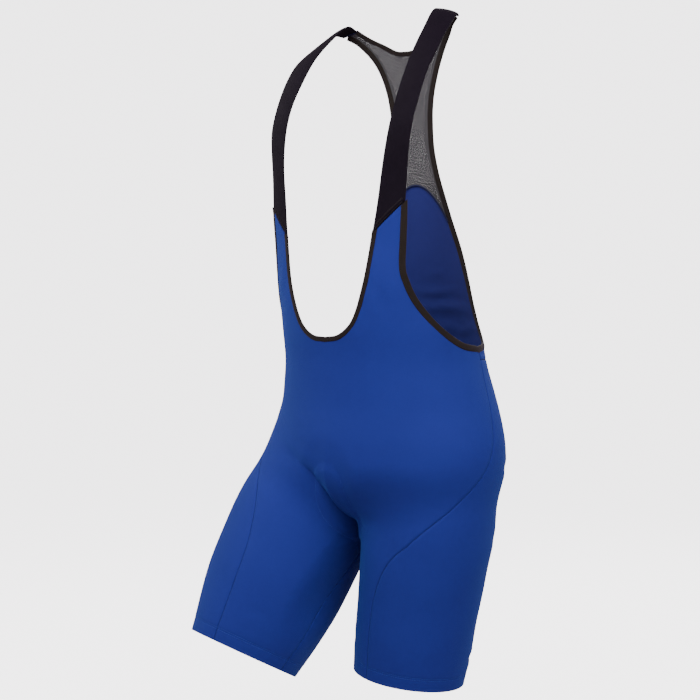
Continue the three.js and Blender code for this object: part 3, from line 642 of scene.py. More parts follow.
# %% The seam lines and the pad's outline
HEM_ROWS = {side: [shorts[side][HEM_ROW + i] for i in (2, 3)] for side in SIDES}
seam_lines = [shorts["left"][: CROTCH_ROW + 1, -1]]
for side in SIDES:
    seam_lines += [shorts[side][:, SIDE_COLUMN], shorts[side][CROTCH_ROW:, 0],
                   shorts[side][0, SIDE_COLUMN:], back_bibs[side][-1], front_bibs[side][-1],
                   front_bibs[side][: WAIST_ROWS + 1, -1]]
PAD_PROUD, PAD_EDGE = 2.1, 3.6
PAD_FRONT_Z, PAD_SEAT_Z = -592.0, -614.0
PAD_NARROW, PAD_CROTCH, PAD_MIDDLE, PAD_WIDE = 23, 29, 40, 56       # half widths
PAD_MIDDLE_RUN = 60                                                 # from the crotch
PAD_BELOW_Z = -540
low_front = shorts["left"][: CROTCH_ROW + 1, 0]
low_back = shorts["left"][: CROTCH_ROW + 1, -1][::-1]
low_front = low_front[low_front[:, 2] < PAD_FRONT_Z]
beyond_seat = np.nonzero(low_back[:, 2] > PAD_SEAT_Z)[0][0]
pad_spine = np.concatenate([low_front, low_back[1:beyond_seat]])
spine_run = run_of(pad_spine)
at_crotch = spine_run[len(low_front) - 1]
pad_half = np.interp(spine_run, [0, at_crotch, at_crotch + PAD_MIDDLE_RUN, spine_run[-1]],
                     [PAD_NARROW, PAD_CROTCH, PAD_MIDDLE, PAD_WIDE])
pad_length = float(spine_run[-1] + PAD_NARROW + PAD_WIDE)
print("the pad is", round(pad_length), "mm long over its curve")


def pad_field(points):
    """How far points lie outside the pad's outline; negative on the pad."""
    field = np.full(points.shape[:-1], 1e3)
    for place, half in zip(pad_spine, pad_half):
        field = np.minimum(field, np.linalg.norm(points - place, axis=-1) - half)
    return field


# %% The relief of the cloth
def slow_waves(p):
    """An unevenness of the cloth over several centimetres."""
    x, y, z = p.T
    return (np.sin(x / 17 + z / 31 + 1.3) * np.sin(y / 19 - z / 23) * 0.22
            + np.sin(x / 29 - y / 21 + z / 13 + 0.4) * 0.14)


# How the cloth beside a row of stitches lies: the reach of the effect, the wave, sway and beat of the
# puckers along it, where they crest and how far they spread, their height, and the groove of the row.
SEAM_FORM = {"reach": 12, "wave": 2.1, "sway": 2, "beat": 17, "crest": 3, "spread": 3,
             "pucker": 0.09, "sink": 0.75, "groove": 1.1}
HEM_FORM = {"reach": 16, "wave": 2.3, "sway": 2.5, "beat": 21, "crest": 0, "spread": 5,
            "pucker": 0.1, "sink": 0.3, "groove": 0.9}
BANK_PLACE, BANK_WIDTH, BANK_HEIGHT, CREASE_REACH = 1.9, 0.7, 0.3, 3.2


def bell(offset, width):
    return np.exp(-(offset / width) ** 2)


def sewn_form(points, line, reach, wave, sway, beat, crest, spread, pucker, sink, groove):
    """What a row of stitches does to the cloth beside it."""
    away, along, _ = beside(points, line, reach)
    ripple = np.sin(along / wave + sway * np.sin(along / beat)) * bell(away - crest, spread)
    return np.where(away < reach - 0.1, pucker * ripple - sink * bell(away, groove), 0)


def relief(points):
    """How far each point of the cloth stands out from the smooth figure, in millimetres."""
    high = slow_waves(points)
    for number, (depth, half_width, line) in enumerate(crease_lines):
        away, along, length = beside(points, line, CREASE_REACH * half_width)
        share = along / length
        depth = depth * np.sin(np.pi * np.clip(share, 0, 1)) ** 0.7 * (
            1 + 0.3 * np.sin(2 * np.pi * (1.6 * share + 0.37 * number)))
        bank = bell(away - BANK_PLACE * half_width, BANK_WIDTH * half_width)
        form = depth * (BANK_HEIGHT * bank - bell(away, half_width))
        high += np.where(away < (CREASE_REACH - 0.01) * half_width, form, 0)
    for line in seam_lines:
        high += sewn_form(points, line, **SEAM_FORM)
    for side in SIDES:
        for line in HEM_ROWS[side]:
            high += sewn_form(points, np.concatenate([line, line[:1]]), **HEM_FORM)
    low = np.nonzero(points[:, 2] < PAD_BELOW_Z)[0]
    if len(low):
        high[low] += PAD_PROUD * (1 - smooth(pad_field(points[low]), -PAD_EDGE, 1))
    return high


# %% [markdown]
# ## A shell of cloth
# Cloth is drawn as a thin closed wall: the outer face is the grid, the inner face lies one
# thickness further in along the normals, and rims close the cut edges. Each point also keeps where
# it lies on the flat cut, in metres, and that map carries the knit: the courses and wales of the
# material then follow the cloth round the leg instead of running straight through it.


# %% The shell maker
SAME_POINT = 40                     # points within a fortieth of a millimetre are one
RIM_PROUD = 0.12
SHARP_ANGLE = math.radians(70)


def placed(name, mesh):
    """A mesh as an object of the scene."""
    piece = bpy.data.objects.new(name, mesh)
    bpy.context.scene.collection.objects.link(piece)
    return piece


def in_frame(points):
    """Points of the cut in the frame, in metres."""
    return ((points + BODY_AXIS) / 1000).tolist()


def between(line_ids, beside_ids):
    """Faces between two neighbouring columns of points."""
    return np.stack([line_ids[:-1], beside_ids[:-1], beside_ids[1:], line_ids[1:]], -1)


def face_normals(points, quads):
    """The normals of faces, each as long as twice the area."""
    a, b, c, d = (points[quads[:, i]] for i in range(4))
    return np.cross(c - a, d - b)


def merged(keys):
    """The first row of each group of rows that round to the same, and the group of each row."""
    _, first, same = np.unique(np.round(keys).astype(int), axis=0, return_index=True, return_inverse=True)
    return first, same.reshape(-1)


class Cloth:
    """Grids of one sewn piece, joined where they share points."""

    def __init__(self, name):
        self.name = name
        self.points, self.uv, self.thick, self.quads = [], [], [], []
        self.count = 0

    def add(self, side, grid, uv, thick, keep=True):
        """One grid of the piece; keep says which of its faces are cloth."""
        height, width = grid.shape[:2]
        ids = self.count + np.arange(height * width).reshape(height, width)
        quads = between(ids[:, :-1], ids[:, 1:])
        quads = quads[np.broadcast_to(keep, quads.shape[:2])]
        self.quads.append(quads[:, ::-1] if side == "left" else quads)
        self.points.append(grid.reshape(-1, 3))
        self.uv.append(uv.reshape(-1, 2))
        self.thick.append(np.broadcast_to(thick, grid.shape[:2]).reshape(-1))
        self.count += height * width

    def build(self, materials):
        """The piece as a closed wall of cloth."""
        # Points that two grids share become one, and points that no face uses go.
        every, quads = np.concatenate(self.points), np.concatenate(self.quads)
        first, same = merged(every * SAME_POINT)
        used, where = np.unique(same[quads], return_inverse=True)
        first, quads = first[used], where.reshape(quads.shape)
        points, uv = every[first], np.concatenate(self.uv)[first]
        thick = np.concatenate(self.thick)[first]
        quads = quads[(np.sort(quads, 1)[:, 1:] != np.sort(quads, 1)[:, :-1]).all(1)]
        # The outer face stands out by its relief; the inner face lies a thickness below it.
        normals = np.zeros_like(points)
        np.add.at(normals, quads, face_normals(points, quads)[:, None])
        normals = unit(normals)
        points = points + normals * relief(points)[:, None]
        inner = points - normals * thick[:, None]
        # A rim runs where an edge has a face on one side only, and is a little proud of it.
        edges = [edge for i in range(4) for edge in map(tuple, quads[:, [i, (i + 1) % 4]].tolist())]
        known = set(edges)
        rims = np.array([(p, q) for p, q in edges if (q, p) not in known])
        on_rim, where = np.unique(rims, return_inverse=True)
        where = where.reshape(-1, 2)
        along = np.zeros((len(on_rim), 3))
        np.add.at(along, where, (points[rims[:, 1]] - points[rims[:, 0]])[:, None])
        beyond = unit(np.cross(along, normals[on_rim]))
        middle = (points[on_rim] + inner[on_rim]) / 2 + beyond * RIM_PROUD
        n = len(points)
        m = 2 * n + where
        faces = [quads, quads[:, ::-1] + n,
                 np.stack([rims[:, 1], rims[:, 0], m[:, 0], m[:, 1]], -1),
                 np.stack([m[:, 1], m[:, 0], rims[:, 0] + n, rims[:, 1] + n], -1)]
        skin = np.concatenate([np.zeros(len(quads)), np.ones(len(quads)), np.zeros(2 * len(rims))])
        return make_piece(self.name, np.concatenate([points, inner, middle]),
                          np.concatenate(faces).tolist(), np.concatenate([uv, uv, uv[on_rim]]),
                          materials, skin)


def make_piece(name, points, faces, uv, materials, skin=None):
    """A mesh object in the frame: points in millimetres of the cut, uv in metres along the cloth."""
    mesh = bpy.data.meshes.new(name)
    mesh.from_pydata(in_frame(points), [], faces)
    layer = mesh.uv_layers.new(name="cut")
    corner = np.empty(len(mesh.loops), int)
    mesh.loops.foreach_get("vertex_index", corner)
    layer.uv.foreach_set("vector", (uv[corner] / 1000).astype(np.float32).ravel())
    for material in materials:
        mesh.materials.append(material)
    if skin is not None:
        mesh.polygons.foreach_set("material_index", np.asarray(skin, np.int32))
    mesh.shade_smooth()
    mesh.set_sharp_from_angle(angle=SHARP_ANGLE)
    mesh.update()
    print(f"{name}: {len(mesh.vertices)} points, {len(mesh.polygons)} faces")
    return placed(name, mesh)


# %% [markdown]
# ## The finishes
# The shorts are a dense warp knit of nylon and elastane: matt, deep blue, with a soft blue bloom
# where the cloth turns away. Its face shows columns of small V-shaped loops, its reverse rows of
# purl bars, and both are drawn by arithmetic on the map of the flat cut, so they need no picture.
# The finishes share one way of working: two numbers, across and along the cloth in millimetres, are
# folded into a small repeating cell, and the height in that cell drives colour, roughness and bump.
# The colour is painted darker in the hollows of the cell and lighter on its tops: painted shade.


# %% Helpers for shader arithmetic
BUMP_STRENGTH = 0.6


class Finish:
    """A material with short calls for the arithmetic between its nodes."""

    def __init__(self, name):
        self.material = bpy.data.materials.new(name)
        self.material.use_nodes = True
        self.tree = self.material.node_tree
        self.shader = self.tree.nodes["Principled BSDF"]

    def node(self, kind, **settings):
        made = self.tree.nodes.new(kind)
        for key, value in settings.items():
            setattr(made, key, value)
        return made

    def wire(self, value, socket):
        if isinstance(value, (int, float, tuple)):
            socket.default_value = value
        else:
            self.tree.links.new(value, socket)

    def math(self, operation, *values, clamp=False):
        made = self.node("ShaderNodeMath", operation=operation, use_clamp=clamp)
        for i, value in enumerate(values):
            self.wire(value, made.inputs[i])
        return made.outputs[0]

    def times(self, a, b):
        return self.math("MULTIPLY", a, b)

    def plus(self, a, b, clamp=False):
        return self.math("ADD", a, b, clamp=clamp)

    def cloth_map(self):
        """Across and along the cut, in millimetres."""
        split = self.node("ShaderNodeSeparateXYZ")
        self.tree.links.new(self.node("ShaderNodeUVMap", uv_map="cut").outputs[0], split.inputs[0])
        return [self.times(split.outputs[i], 1000.0) for i in range(2)]

    def constants(self, **values):
        """Fixed values on the shader's own sockets; an underline stands for a space."""
        for label, value in values.items():
            self.shader.inputs[label.replace("_", " ")].default_value = value

    def noise(self, scale, detail=2.0):
        made = self.node("ShaderNodeTexNoise")
        made.inputs["Scale"].default_value = scale
        made.inputs["Detail"].default_value = detail
        where = self.node("ShaderNodeTexCoord")
        self.tree.links.new(where.outputs["Object"], made.inputs["Vector"])
        return made.outputs["Fac"]

    def blend(self, share, low, high):
        made = self.node("ShaderNodeMix", data_type="RGBA")
        self.wire(share, made.inputs["Factor"])
        self.wire((*low, 1.0), made.inputs["A"])
        self.wire((*high, 1.0), made.inputs["B"])
        return made.outputs["Result"]

    def finish(self, colour, rough, height, depth):
        self.wire(colour, self.shader.inputs["Base Color"])
        self.wire(rough, self.shader.inputs["Roughness"])
        bump = self.node("ShaderNodeBump")
        bump.inputs["Strength"].default_value = BUMP_STRENGTH
        bump.inputs["Distance"].default_value = depth
        self.wire(height, bump.inputs["Height"])
        self.tree.links.new(bump.outputs[0], self.shader.inputs["Normal"])
        return self.material


WALE, COURSE = 0.62, 0.5
KNIT_RELIEF, WEB_RELIEF, TAPE_RELIEF, THREAD_RELIEF = 0.00012, 0.0002, 0.00008, 0.00005     # metres


def knit(name, deep, light, lean, sheen, tint):
    """A knit: loops of one wale across and one course along, leaning by lean to either side."""
    f = Finish(name)
    across, along = f.cloth_map()
    cell = f.math("FRACT", f.math("DIVIDE", across, WALE))
    side = f.times(f.math("ABSOLUTE", f.math("SUBTRACT", cell, 0.5)), 2.0)
    row = f.plus(f.math("DIVIDE", along, COURSE), f.times(side, lean))
    loop = f.math("SINE", f.times(f.math("FRACT", row), math.pi))
    height = f.times(loop, f.math("SUBTRACT", 1.0, f.math("POWER", side, 3.0)))
    clouds = f.plus(f.times(f.noise(9.0, 3.0), 0.5), f.times(f.noise(420.0), 0.22))
    # Painted shade: the colour is darker in the hollows between the loops and lighter on their tops; the
    # clouds are random tone of the yarn.
    share = f.plus(f.times(height, 0.34), clouds, clamp=True)
    rough = f.math("SUBTRACT", 0.9, f.times(share, 0.2))
    f.constants(Sheen_Weight=sheen, Sheen_Roughness=0.45, Sheen_Tint=(*tint, 1.0), Specular_IOR_Level=0.18)
    return f.finish(f.blend(share, deep, light), rough, height, KNIT_RELIEF)


def webbing(name, deep, light, rib, pick, depth, sheen):
    """A narrow elastic: ribs of one rib across, with finer picks along them."""
    f = Finish(name)
    across, along = f.cloth_map()
    ridge = f.math("ABSOLUTE", f.math("SINE", f.times(across, math.pi / rib)))
    shift = f.times(f.math("FLOOR", f.math("DIVIDE", across, rib)), 0.5)
    turn = f.times(f.plus(f.math("DIVIDE", along, pick), shift), math.pi)
    beat = f.math("ABSOLUTE", f.math("SINE", turn))
    height = f.plus(f.times(ridge, 0.65), f.times(beat, 0.35))
    # Painted shade: the colour is darker in the grooves between the ribs and the picks and lighter on their
    # tops, over random tone.
    share = f.plus(f.times(height, 0.5), f.times(f.noise(60.0, 4.0), 0.5), clamp=True)
    rough = f.math("SUBTRACT", 0.86, f.times(share, 0.22))
    f.constants(Sheen_Weight=sheen, Sheen_Tint=(0.8, 0.75, 0.95, 1.0), Specular_IOR_Level=0.12)
    return f.finish(f.blend(share, deep, light), rough, height, depth)


# Each finish gets a darker and a lighter colour: the darker is painted into the hollows of its cell as
# painted shade, the lighter on its tops as painted light, and both also vary at random.
knit_face = knit("knit_face", (0.0125, 0.024, 0.20), (0.0175, 0.036, 0.30), 0.7, 0.2, (0.12, 0.4, 1.0))
knit_reverse = knit("knit_reverse", (0.0165, 0.021, 0.135), (0.022, 0.030, 0.20), 0.1, 0.05,
                    (0.4, 0.5, 1.0))
elastic_black = webbing("elastic_black", (0.0028, 0.0011, 0.0042), (0.0062, 0.0028, 0.0088), 1.7, 0.9,
                        WEB_RELIEF, 0.0)
tape_black = webbing("tape_black", (0.011, 0.0085, 0.006), (0.021, 0.016, 0.012), 0.7, 0.6,
                     TAPE_RELIEF, 0.08)
net_grey = webbing("net_grey", (0.055, 0.056, 0.058), (0.095, 0.096, 0.098), 0.5, 0.5, TAPE_RELIEF, 0.05)

# %% [markdown]
# ## The panels
# Every panel is drawn in by half the gap at each seam, so that pieces lie side by side there and
# never share a surface. The cloth is thicker where the hem is turned in.


# %% The front, the leg panels and the bib back
def hem_thickness(side):
    start = drops[side][HEM_ROW]
    return mix(PANEL, HEM_CLOTH, smooth((drops[side] - start) / (2 - start), 0.0, 0.07))


def cut_map(grid, sign=1):
    """Where a grid lies on the flat cut: across from its first column, down from its first row."""
    across = arc(grid, 1) * sign
    down = arc(grid, 0)[:, grid.shape[1] // 2][:, None]
    return np.stack(np.broadcast_arrays(across, -down), -1)


def draw_in(grid, first=False, last=False, rows=slice(None)):
    """A grid with its first or last column drawn in from the seam that it shares."""
    result = grid.copy()
    if first:
        result[rows, 0] += unit(grid[rows, 1] - grid[rows, 0]) * SEAM_GAP / 2
    if last:
        result[rows, -1] += unit(grid[rows, -2] - grid[rows, -1]) * SEAM_GAP / 2
    return result


def draw_in_row(grid, row):
    """A grid with its first row, 0, or its last row, -1, drawn in in the same way."""
    result = grid.copy()
    inner = 1 if row == 0 else row - 1
    result[row] += unit(grid[inner] - grid[row]) * SEAM_GAP / 2
    return result


def draw_in_ends(grid):
    return draw_in_row(draw_in_row(grid, 0), -1)


def risen(grid, across_map):
    """A grid that rises from its first row, and its map, turned so that both go down."""
    return grid[::-1], (across_map * [1, -1])[::-1]


front_cloth = Cloth("front_panel")
for side, sign in SIDES.items():
    grid = draw_in(rings[side][0], first=True, rows=slice(CROTCH_ROW + 1, None))
    grid = draw_in(grid, last=True)
    front_cloth.add(side, grid, cut_map(grid, sign), hem_thickness(side)[:, None])
    bib = draw_in_row(draw_in(front_bibs[side], last=True, rows=slice(0, WAIST_ROWS + 1)), -1)
    front_cloth.add(side, *risen(bib, cut_map(bib, sign)), PANEL)
front_panel = front_cloth.build([knit_face, knit_reverse])

legs = {}
for side, sign in SIDES.items():
    leg_cloth = Cloth(f"leg_panel_{side}")
    grid = draw_in_row(draw_in(rings[side][1], first=True, last=True), 0)
    leg_cloth.add(side, grid, cut_map(grid, sign), hem_thickness(side)[:, None])
    legs[side] = leg_cloth.build([knit_face, knit_reverse])

back_cloth = Cloth("back_bib_panel")
for side, sign in SIDES.items():
    grid = draw_in(back_bibs[side], first=True, rows=slice(0, WAIST_ROWS + 1))
    grid = draw_in_ends(grid)
    back_cloth.add(side, *risen(grid, cut_map(grid[:, ::-1], -sign)[:, ::-1]), PANEL)
back_bib_panel = back_cloth.build([knit_face, knit_reverse])


# %% The places of the racer back
def lowered(side, x, z):
    """How far a place near the top is lowered, as the right shoulder is held lower."""
    fade = smooth(z, *LOWERED_Z) * np.minimum(np.abs(x) / LOWERED_X, 1)
    return (side == "right") * SHOULDER_DROP * fade


def behind(side, x, z):
    """Points of the back of the trunk, lowered on the right."""
    z = z - lowered(side, x, z)
    return np.stack(np.broadcast_arrays(x, trunk_y(x, z, True), z), -1)


# The top of the mesh at a strap: its outer corner, its inner corner, and the share of the row there.
STRAP_OUTER, STRAP_INNER = np.array([91.0, -1.8]), np.array([77.0, float(neckline(77.0)[0])])
STRAP_SHARE = 2 / 14
YOKE_CORNER = np.array([YOKE_HALF, YOKE_Z - YOKE_DROP])


def racer_row(share, rise):
    """Places (distance from the middle, height) of a row, from the armhole edge to the middle."""
    x, neck_x = YOKE_HALF * (1 - share), STRAP_INNER[0] * (1 - share) / (1 - STRAP_SHARE)
    share = share[:, None]
    bottom, neck = np.stack([x, yoke_z(x)], -1), np.stack([neck_x, neckline(neck_x)[0]], -1)
    at_strap = mix(STRAP_OUTER, STRAP_INNER, np.clip(share / STRAP_SHARE, 0, 1))
    top = np.where(share <= STRAP_SHARE, at_strap, neck)
    first = mix(YOKE_CORNER, STRAP_OUTER, rise)
    edge = np.array([float(racer_edge(first[1])[0]), first[1]])
    return mix(bottom, top, rise) + mix(edge - first, 0, share)


def racer_back(side, places):
    """Points of the back from places."""
    return behind(side, SIDES[side] * places[..., 0], places[..., 1])


MESH_COLUMNS, MESH_ROWS = 29, 65
mesh_steps, mesh_rises = np.linspace(0, 1, MESH_COLUMNS), np.linspace(0, 1, MESH_ROWS)
racer_places = np.array([racer_row(mesh_steps, rise) for rise in mesh_rises])
racers = {side: racer_back(side, racer_places) for side in SIDES}

# %% [markdown]
# ## The mesh back
# The racer back is an open knit: a net of small round holes, with a plain edge where the pieces
# beside it are sewn on. A see-through picture of holes would look flat from close by, so the net is
# real. A sheet of hexagons is laid on the back, and a Geometry Nodes tree opens each one: it insets
# the face, takes the middle out, and gives what is left a thickness.


# %% A short way to write a Geometry Nodes tree
class Recipe:
    """A Geometry Nodes tree with named inputs, written with short calls."""

    def __init__(self, name, *labels):
        self.tree = bpy.data.node_groups.new(name, "GeometryNodeTree")
        new_socket = self.tree.interface.new_socket
        new_socket("Geometry", in_out="INPUT", socket_type="NodeSocketGeometry")
        for label in labels:
            new_socket(label, in_out="INPUT", socket_type="NodeSocketFloat")
        new_socket("Geometry", in_out="OUTPUT", socket_type="NodeSocketGeometry")
        self.given = self.node("NodeGroupInput")

    def node(self, kind, inputs=(), **settings):
        """A node's outputs; its inputs are set by name or number, to values or to what is wired in."""
        made = self.tree.nodes.new(kind)
        for key, value in settings.items():
            setattr(made, key, value)
        for key, value in dict(inputs).items():
            for item in value if isinstance(value, list) else [value]:
                if isinstance(item, bpy.types.NodeSocket):
                    self.tree.links.new(item, made.inputs[key])
                else:
                    made.inputs[key].default_value = item
        return made.outputs

    def end(self, geometry, material):
        """The end of the tree: real meshes in one material."""
        real = self.node("GeometryNodeRealizeInstances", {"Geometry": geometry})
        dressed = self.node("GeometryNodeSetMaterial", {"Geometry": real["Geometry"], "Material": material})
        self.node("NodeGroupOutput", {"Geometry": dressed["Geometry"]})
        return self.tree


def made_by(tree, name, source, **sizes):
    """What a tree makes of a mesh, as a plain piece; the tree's inputs are set by their identifiers."""
    start = placed(name + "_lines", source)
    maker = start.modifiers.new("maker", "NODES")
    maker.node_group = tree
    for item in tree.interface.items_tree:
        if item.in_out == "INPUT" and item.name in sizes:
            maker[item.identifier] = sizes[item.name]
    graph = bpy.context.evaluated_depsgraph_get()
    mesh = bpy.data.meshes.new_from_object(start.evaluated_get(graph))
    mesh.name = name
    bpy.data.objects.remove(start)
    print(f"{name}: {len(mesh.polygons)} faces")
    return placed(name, mesh)


# %% The net
NET_PITCH, NET_HOLE, NET_THICK = 2.1, 0.26, 0.5
NET_EDGE, NET_INSIDE, NET_DEPTH = 3.0, 1.0, 0.85    # plain edge, reach under it, depth under the face
NET_LOW, NET_HALF, FLAT_Z = -270, 110, -40.0
SAME_CORNER = 0.00001


def net_tree(name, material):
    """Opens each face of a sheet: inset, middle out, and a thickness for what is left."""
    recipe = Recipe(name, "Hole", "Thickness")
    node, given = recipe.node, recipe.given
    inset = node("GeometryNodeExtrudeMesh", {"Mesh": given["Geometry"], "Individual": True,
                                             "Offset Scale": 0.0}, mode="FACES")
    shrink = node("GeometryNodeScaleElements", {"Geometry": inset["Mesh"], "Selection": inset["Top"],
                                                "Scale": given["Hole"]}, domain="FACE")
    opened = node("GeometryNodeDeleteGeometry", {"Geometry": shrink["Geometry"],
                                                 "Selection": inset["Top"]}, domain="FACE")
    thick = node("GeometryNodeExtrudeMesh", {"Mesh": opened["Geometry"], "Individual": False,
                                             "Offset Scale": given["Thickness"]}, mode="FACES")
    under = node("GeometryNodeFlipFaces", {"Mesh": opened["Geometry"]})
    both = node("GeometryNodeJoinGeometry", {"Geometry": [thick["Mesh"], under["Mesh"]]})
    closed = node("GeometryNodeMergeByDistance", {"Geometry": both["Geometry"], "Distance": SAME_CORNER})
    return recipe.end(closed["Geometry"], material)


wide = np.linspace(0, 120, 241)
wide_run = run_of(behind("left", wide, np.full(wide.shape, FLAT_Z))[:, :2])


def flat_back(x):
    """Distance along the cloth from the middle back, for a distance x to the side."""
    return np.sign(x) * np.interp(np.abs(x), wide, wide_run)


def laid_back(run, z, depth):
    """Points of the back from places on the flat net, a depth under its face."""
    x = np.sign(run) * np.interp(np.abs(run), wide_run, wide)
    points = np.where((run >= 0)[..., None], behind("left", x, z), behind("right", x, z))
    return points - outward(trunk_field, points) * depth


def inside_by(places, outline):
    """How far flat places lie inside a closed outline; negative outside."""
    away, crossings = np.full(len(places), 1e3), np.zeros(len(places), int)
    for a, b in zip(outline, np.roll(outline, -1, 0)):
        step = b - a
        share = np.clip((places - a) @ step / max(step @ step, 1e-9), 0, 1)
        away = np.minimum(away, np.linalg.norm(places - a - share[:, None] * step, axis=1))
        if a[1] != b[1]:
            level = (places[:, 1] - a[1]) / (b[1] - a[1])
            crossings += (level >= 0) & (level < 1) & (places[:, 0] < a[0] + level * step[0])
    return np.where(crossings % 2 == 1, away, -away)


half_outline = np.concatenate([racer_places[0, ::-1], racer_places[1:, 0], racer_places[-1, 1:]])
half_outline[:, 0] = flat_back(half_outline[:, 0])
net_outline = np.concatenate([half_outline, (half_outline * [-1, 1])[::-1]])
hex_side = NET_PITCH / math.sqrt(3)
row_pitch = 1.5 * hex_side
rows = np.arange(math.floor(NET_LOW / row_pitch), 3)
columns = np.arange(-math.ceil(NET_HALF / NET_PITCH), math.ceil(NET_HALF / NET_PITCH) + 1)
j, i = (v.ravel() for v in np.meshgrid(rows, columns, indexing="ij"))
centres = np.stack([NET_PITCH * (i + 0.5 * (j % 2)), row_pitch * j], -1)
centres = centres[inside_by(centres, net_outline) > NET_INSIDE]
spokes = np.radians(30 + 60 * np.arange(6))
corners = centres[:, None] + hex_side * np.stack([np.cos(spokes), np.sin(spokes)], -1)
first, same = merged(corners.reshape(-1, 2) / [NET_PITCH / 2, hex_side / 2])
flat = corners.reshape(-1, 2)[first]
sheet = bpy.data.meshes.new("net_sheet")
sheet.from_pydata(in_frame(laid_back(*flat.T, NET_DEPTH)), [], same.reshape(-1, 6).tolist())
if sum(p.normal.y for p in sheet.polygons) < 0:
    sheet.flip_normals()
print("holes in the net:", len(centres))


# %% The plain edge of the net
EDGE_PLACES, LEAST_SLANT, NUDGE = [0, 0.9, 2.1, NET_EDGE], 0.3, 0.01
EDGE_COLUMNS, EDGE_ROWS = 27, 61    # even ones, beside those of the plain edge


def edge_steps(rise):
    """Shares across a half row: close together on the plain edge, then even."""
    row = racer_row(np.array([0.0, NUDGE, 1.0]), rise)
    beside_row = racer_row(np.array([0.0]), rise + (NUDGE if rise < 0.5 else -NUDGE))[0]
    width = np.linalg.norm(row[2] - row[0])
    along, across = unit(beside_row - row[0]), unit(row[1] - row[0])
    slant = abs(along[0] * across[1] - along[1] * across[0])
    near = np.array(EDGE_PLACES) / width / max(slant, LEAST_SLANT)
    return np.concatenate([near, np.linspace(near[-1], 1, EDGE_COLUMNS)[1:]])


EDGE_RISES = np.array([0, 0.0035, 0.009, 0.016])
open_rises = np.linspace(EDGE_RISES[-1], 1 - EDGE_RISES[-1], EDGE_ROWS)[1:-1]
rises = np.concatenate([EDGE_RISES, open_rises, 1 - EDGE_RISES[::-1]])
PLAIN = len(EDGE_PLACES) - 1        # faces across the plain edge
edge_cloth = Cloth("mesh_back")
for side in SIDES:
    places = np.array([racer_row(edge_steps(rise), rise) for rise in rises])
    grid = draw_in_ends(racer_back(side, places))
    uv = np.stack([grid[..., 0], grid[..., 2]], -1)
    open_net = np.zeros((len(rises) - 1, places.shape[1] - 1), bool)
    open_net[PLAIN:-PLAIN, PLAIN:] = True
    edge_cloth.add(side, grid[::-1], uv[::-1], MESH_CLOTH, ~open_net[::-1])


# %% The straps
STRAP_STEPS, STRAP_CROWN, STRAP_HOLD = 10.0, 1.5, 1.5       # the hold is in steps of the strap's table
STRAP_COLUMNS, STRAP_ROWS = 11, 91


def strap_grid(side):
    """A ribbon with a slight crown; its ends lie on the trunk, as the bib and the mesh do."""
    mirror = np.array([SIDES[side], 1, 1])
    share = np.linspace(0, 1, STRAP_COLUMNS)[:, None]

    def flat(step):
        row = np.array([float(v) for v in strap_edges(step)])
        for x, z in ((0, 2), (3, 5)):
            row[z] -= lowered(side, row[x], row[z])
        return mix(row[:3] * mirror, row[3:] * mirror, share)

    grid, normals = [], []
    for step in np.linspace(0, STRAP_STEPS, STRAP_ROWS):
        here = flat(step)
        forward = flat(min(step + 0.1, STRAP_STEPS)) - flat(max(step - 0.1, 0))
        normal = unit(np.cross(forward, here[-1] - here[0]) * -SIDES[side])
        point = here + normal * STRAP_CROWN * 4 * share * (1 - share)
        for end, is_back in ((0, False), (STRAP_STEPS, True)):
            hold = max(1 - abs(step - end) / STRAP_HOLD, 0)
            if hold > 0:
                x, y, z = flat(end).T
                seat = np.stack([x, trunk_y(x, z, is_back), z], -1)
                point = point + (seat - flat(end)) * hold**2
                point = seat if hold == 1 else point
                normal = unit(mix(normal, outward(trunk_field, seat), hold**2))
        grid.append(point)
        normals.append(normal)
    return np.array(grid), np.array(normals)


straps, strap_grids = {}, {}
for side in SIDES:
    strap_grids[side] = strap_grid(side)
    grid = draw_in_ends(strap_grids[side][0])
    strap_cloth = Cloth(f"strap_{side}_web")
    strap_cloth.add(side, grid[::-1], cut_map(grid)[::-1], STRAP)
    straps[side] = strap_cloth.build([elastic_black])

# %% The bindings
ARMHOLE_WIDTH, SCOOP_WIDTH, NECK_WIDTH = 7.0, 5.0, 4.5
TAPE_THICK, TAPE_GRIP, TAPE_SQUARE, TAPE_CORNERS, END_GAP = 2.7, 1.6, 3.4, 20, 0.6


def rounded(wave):
    """A sine or cosine squared off towards a bar's flat faces."""
    return np.sign(wave) * np.abs(wave) ** (2 / TAPE_SQUARE)


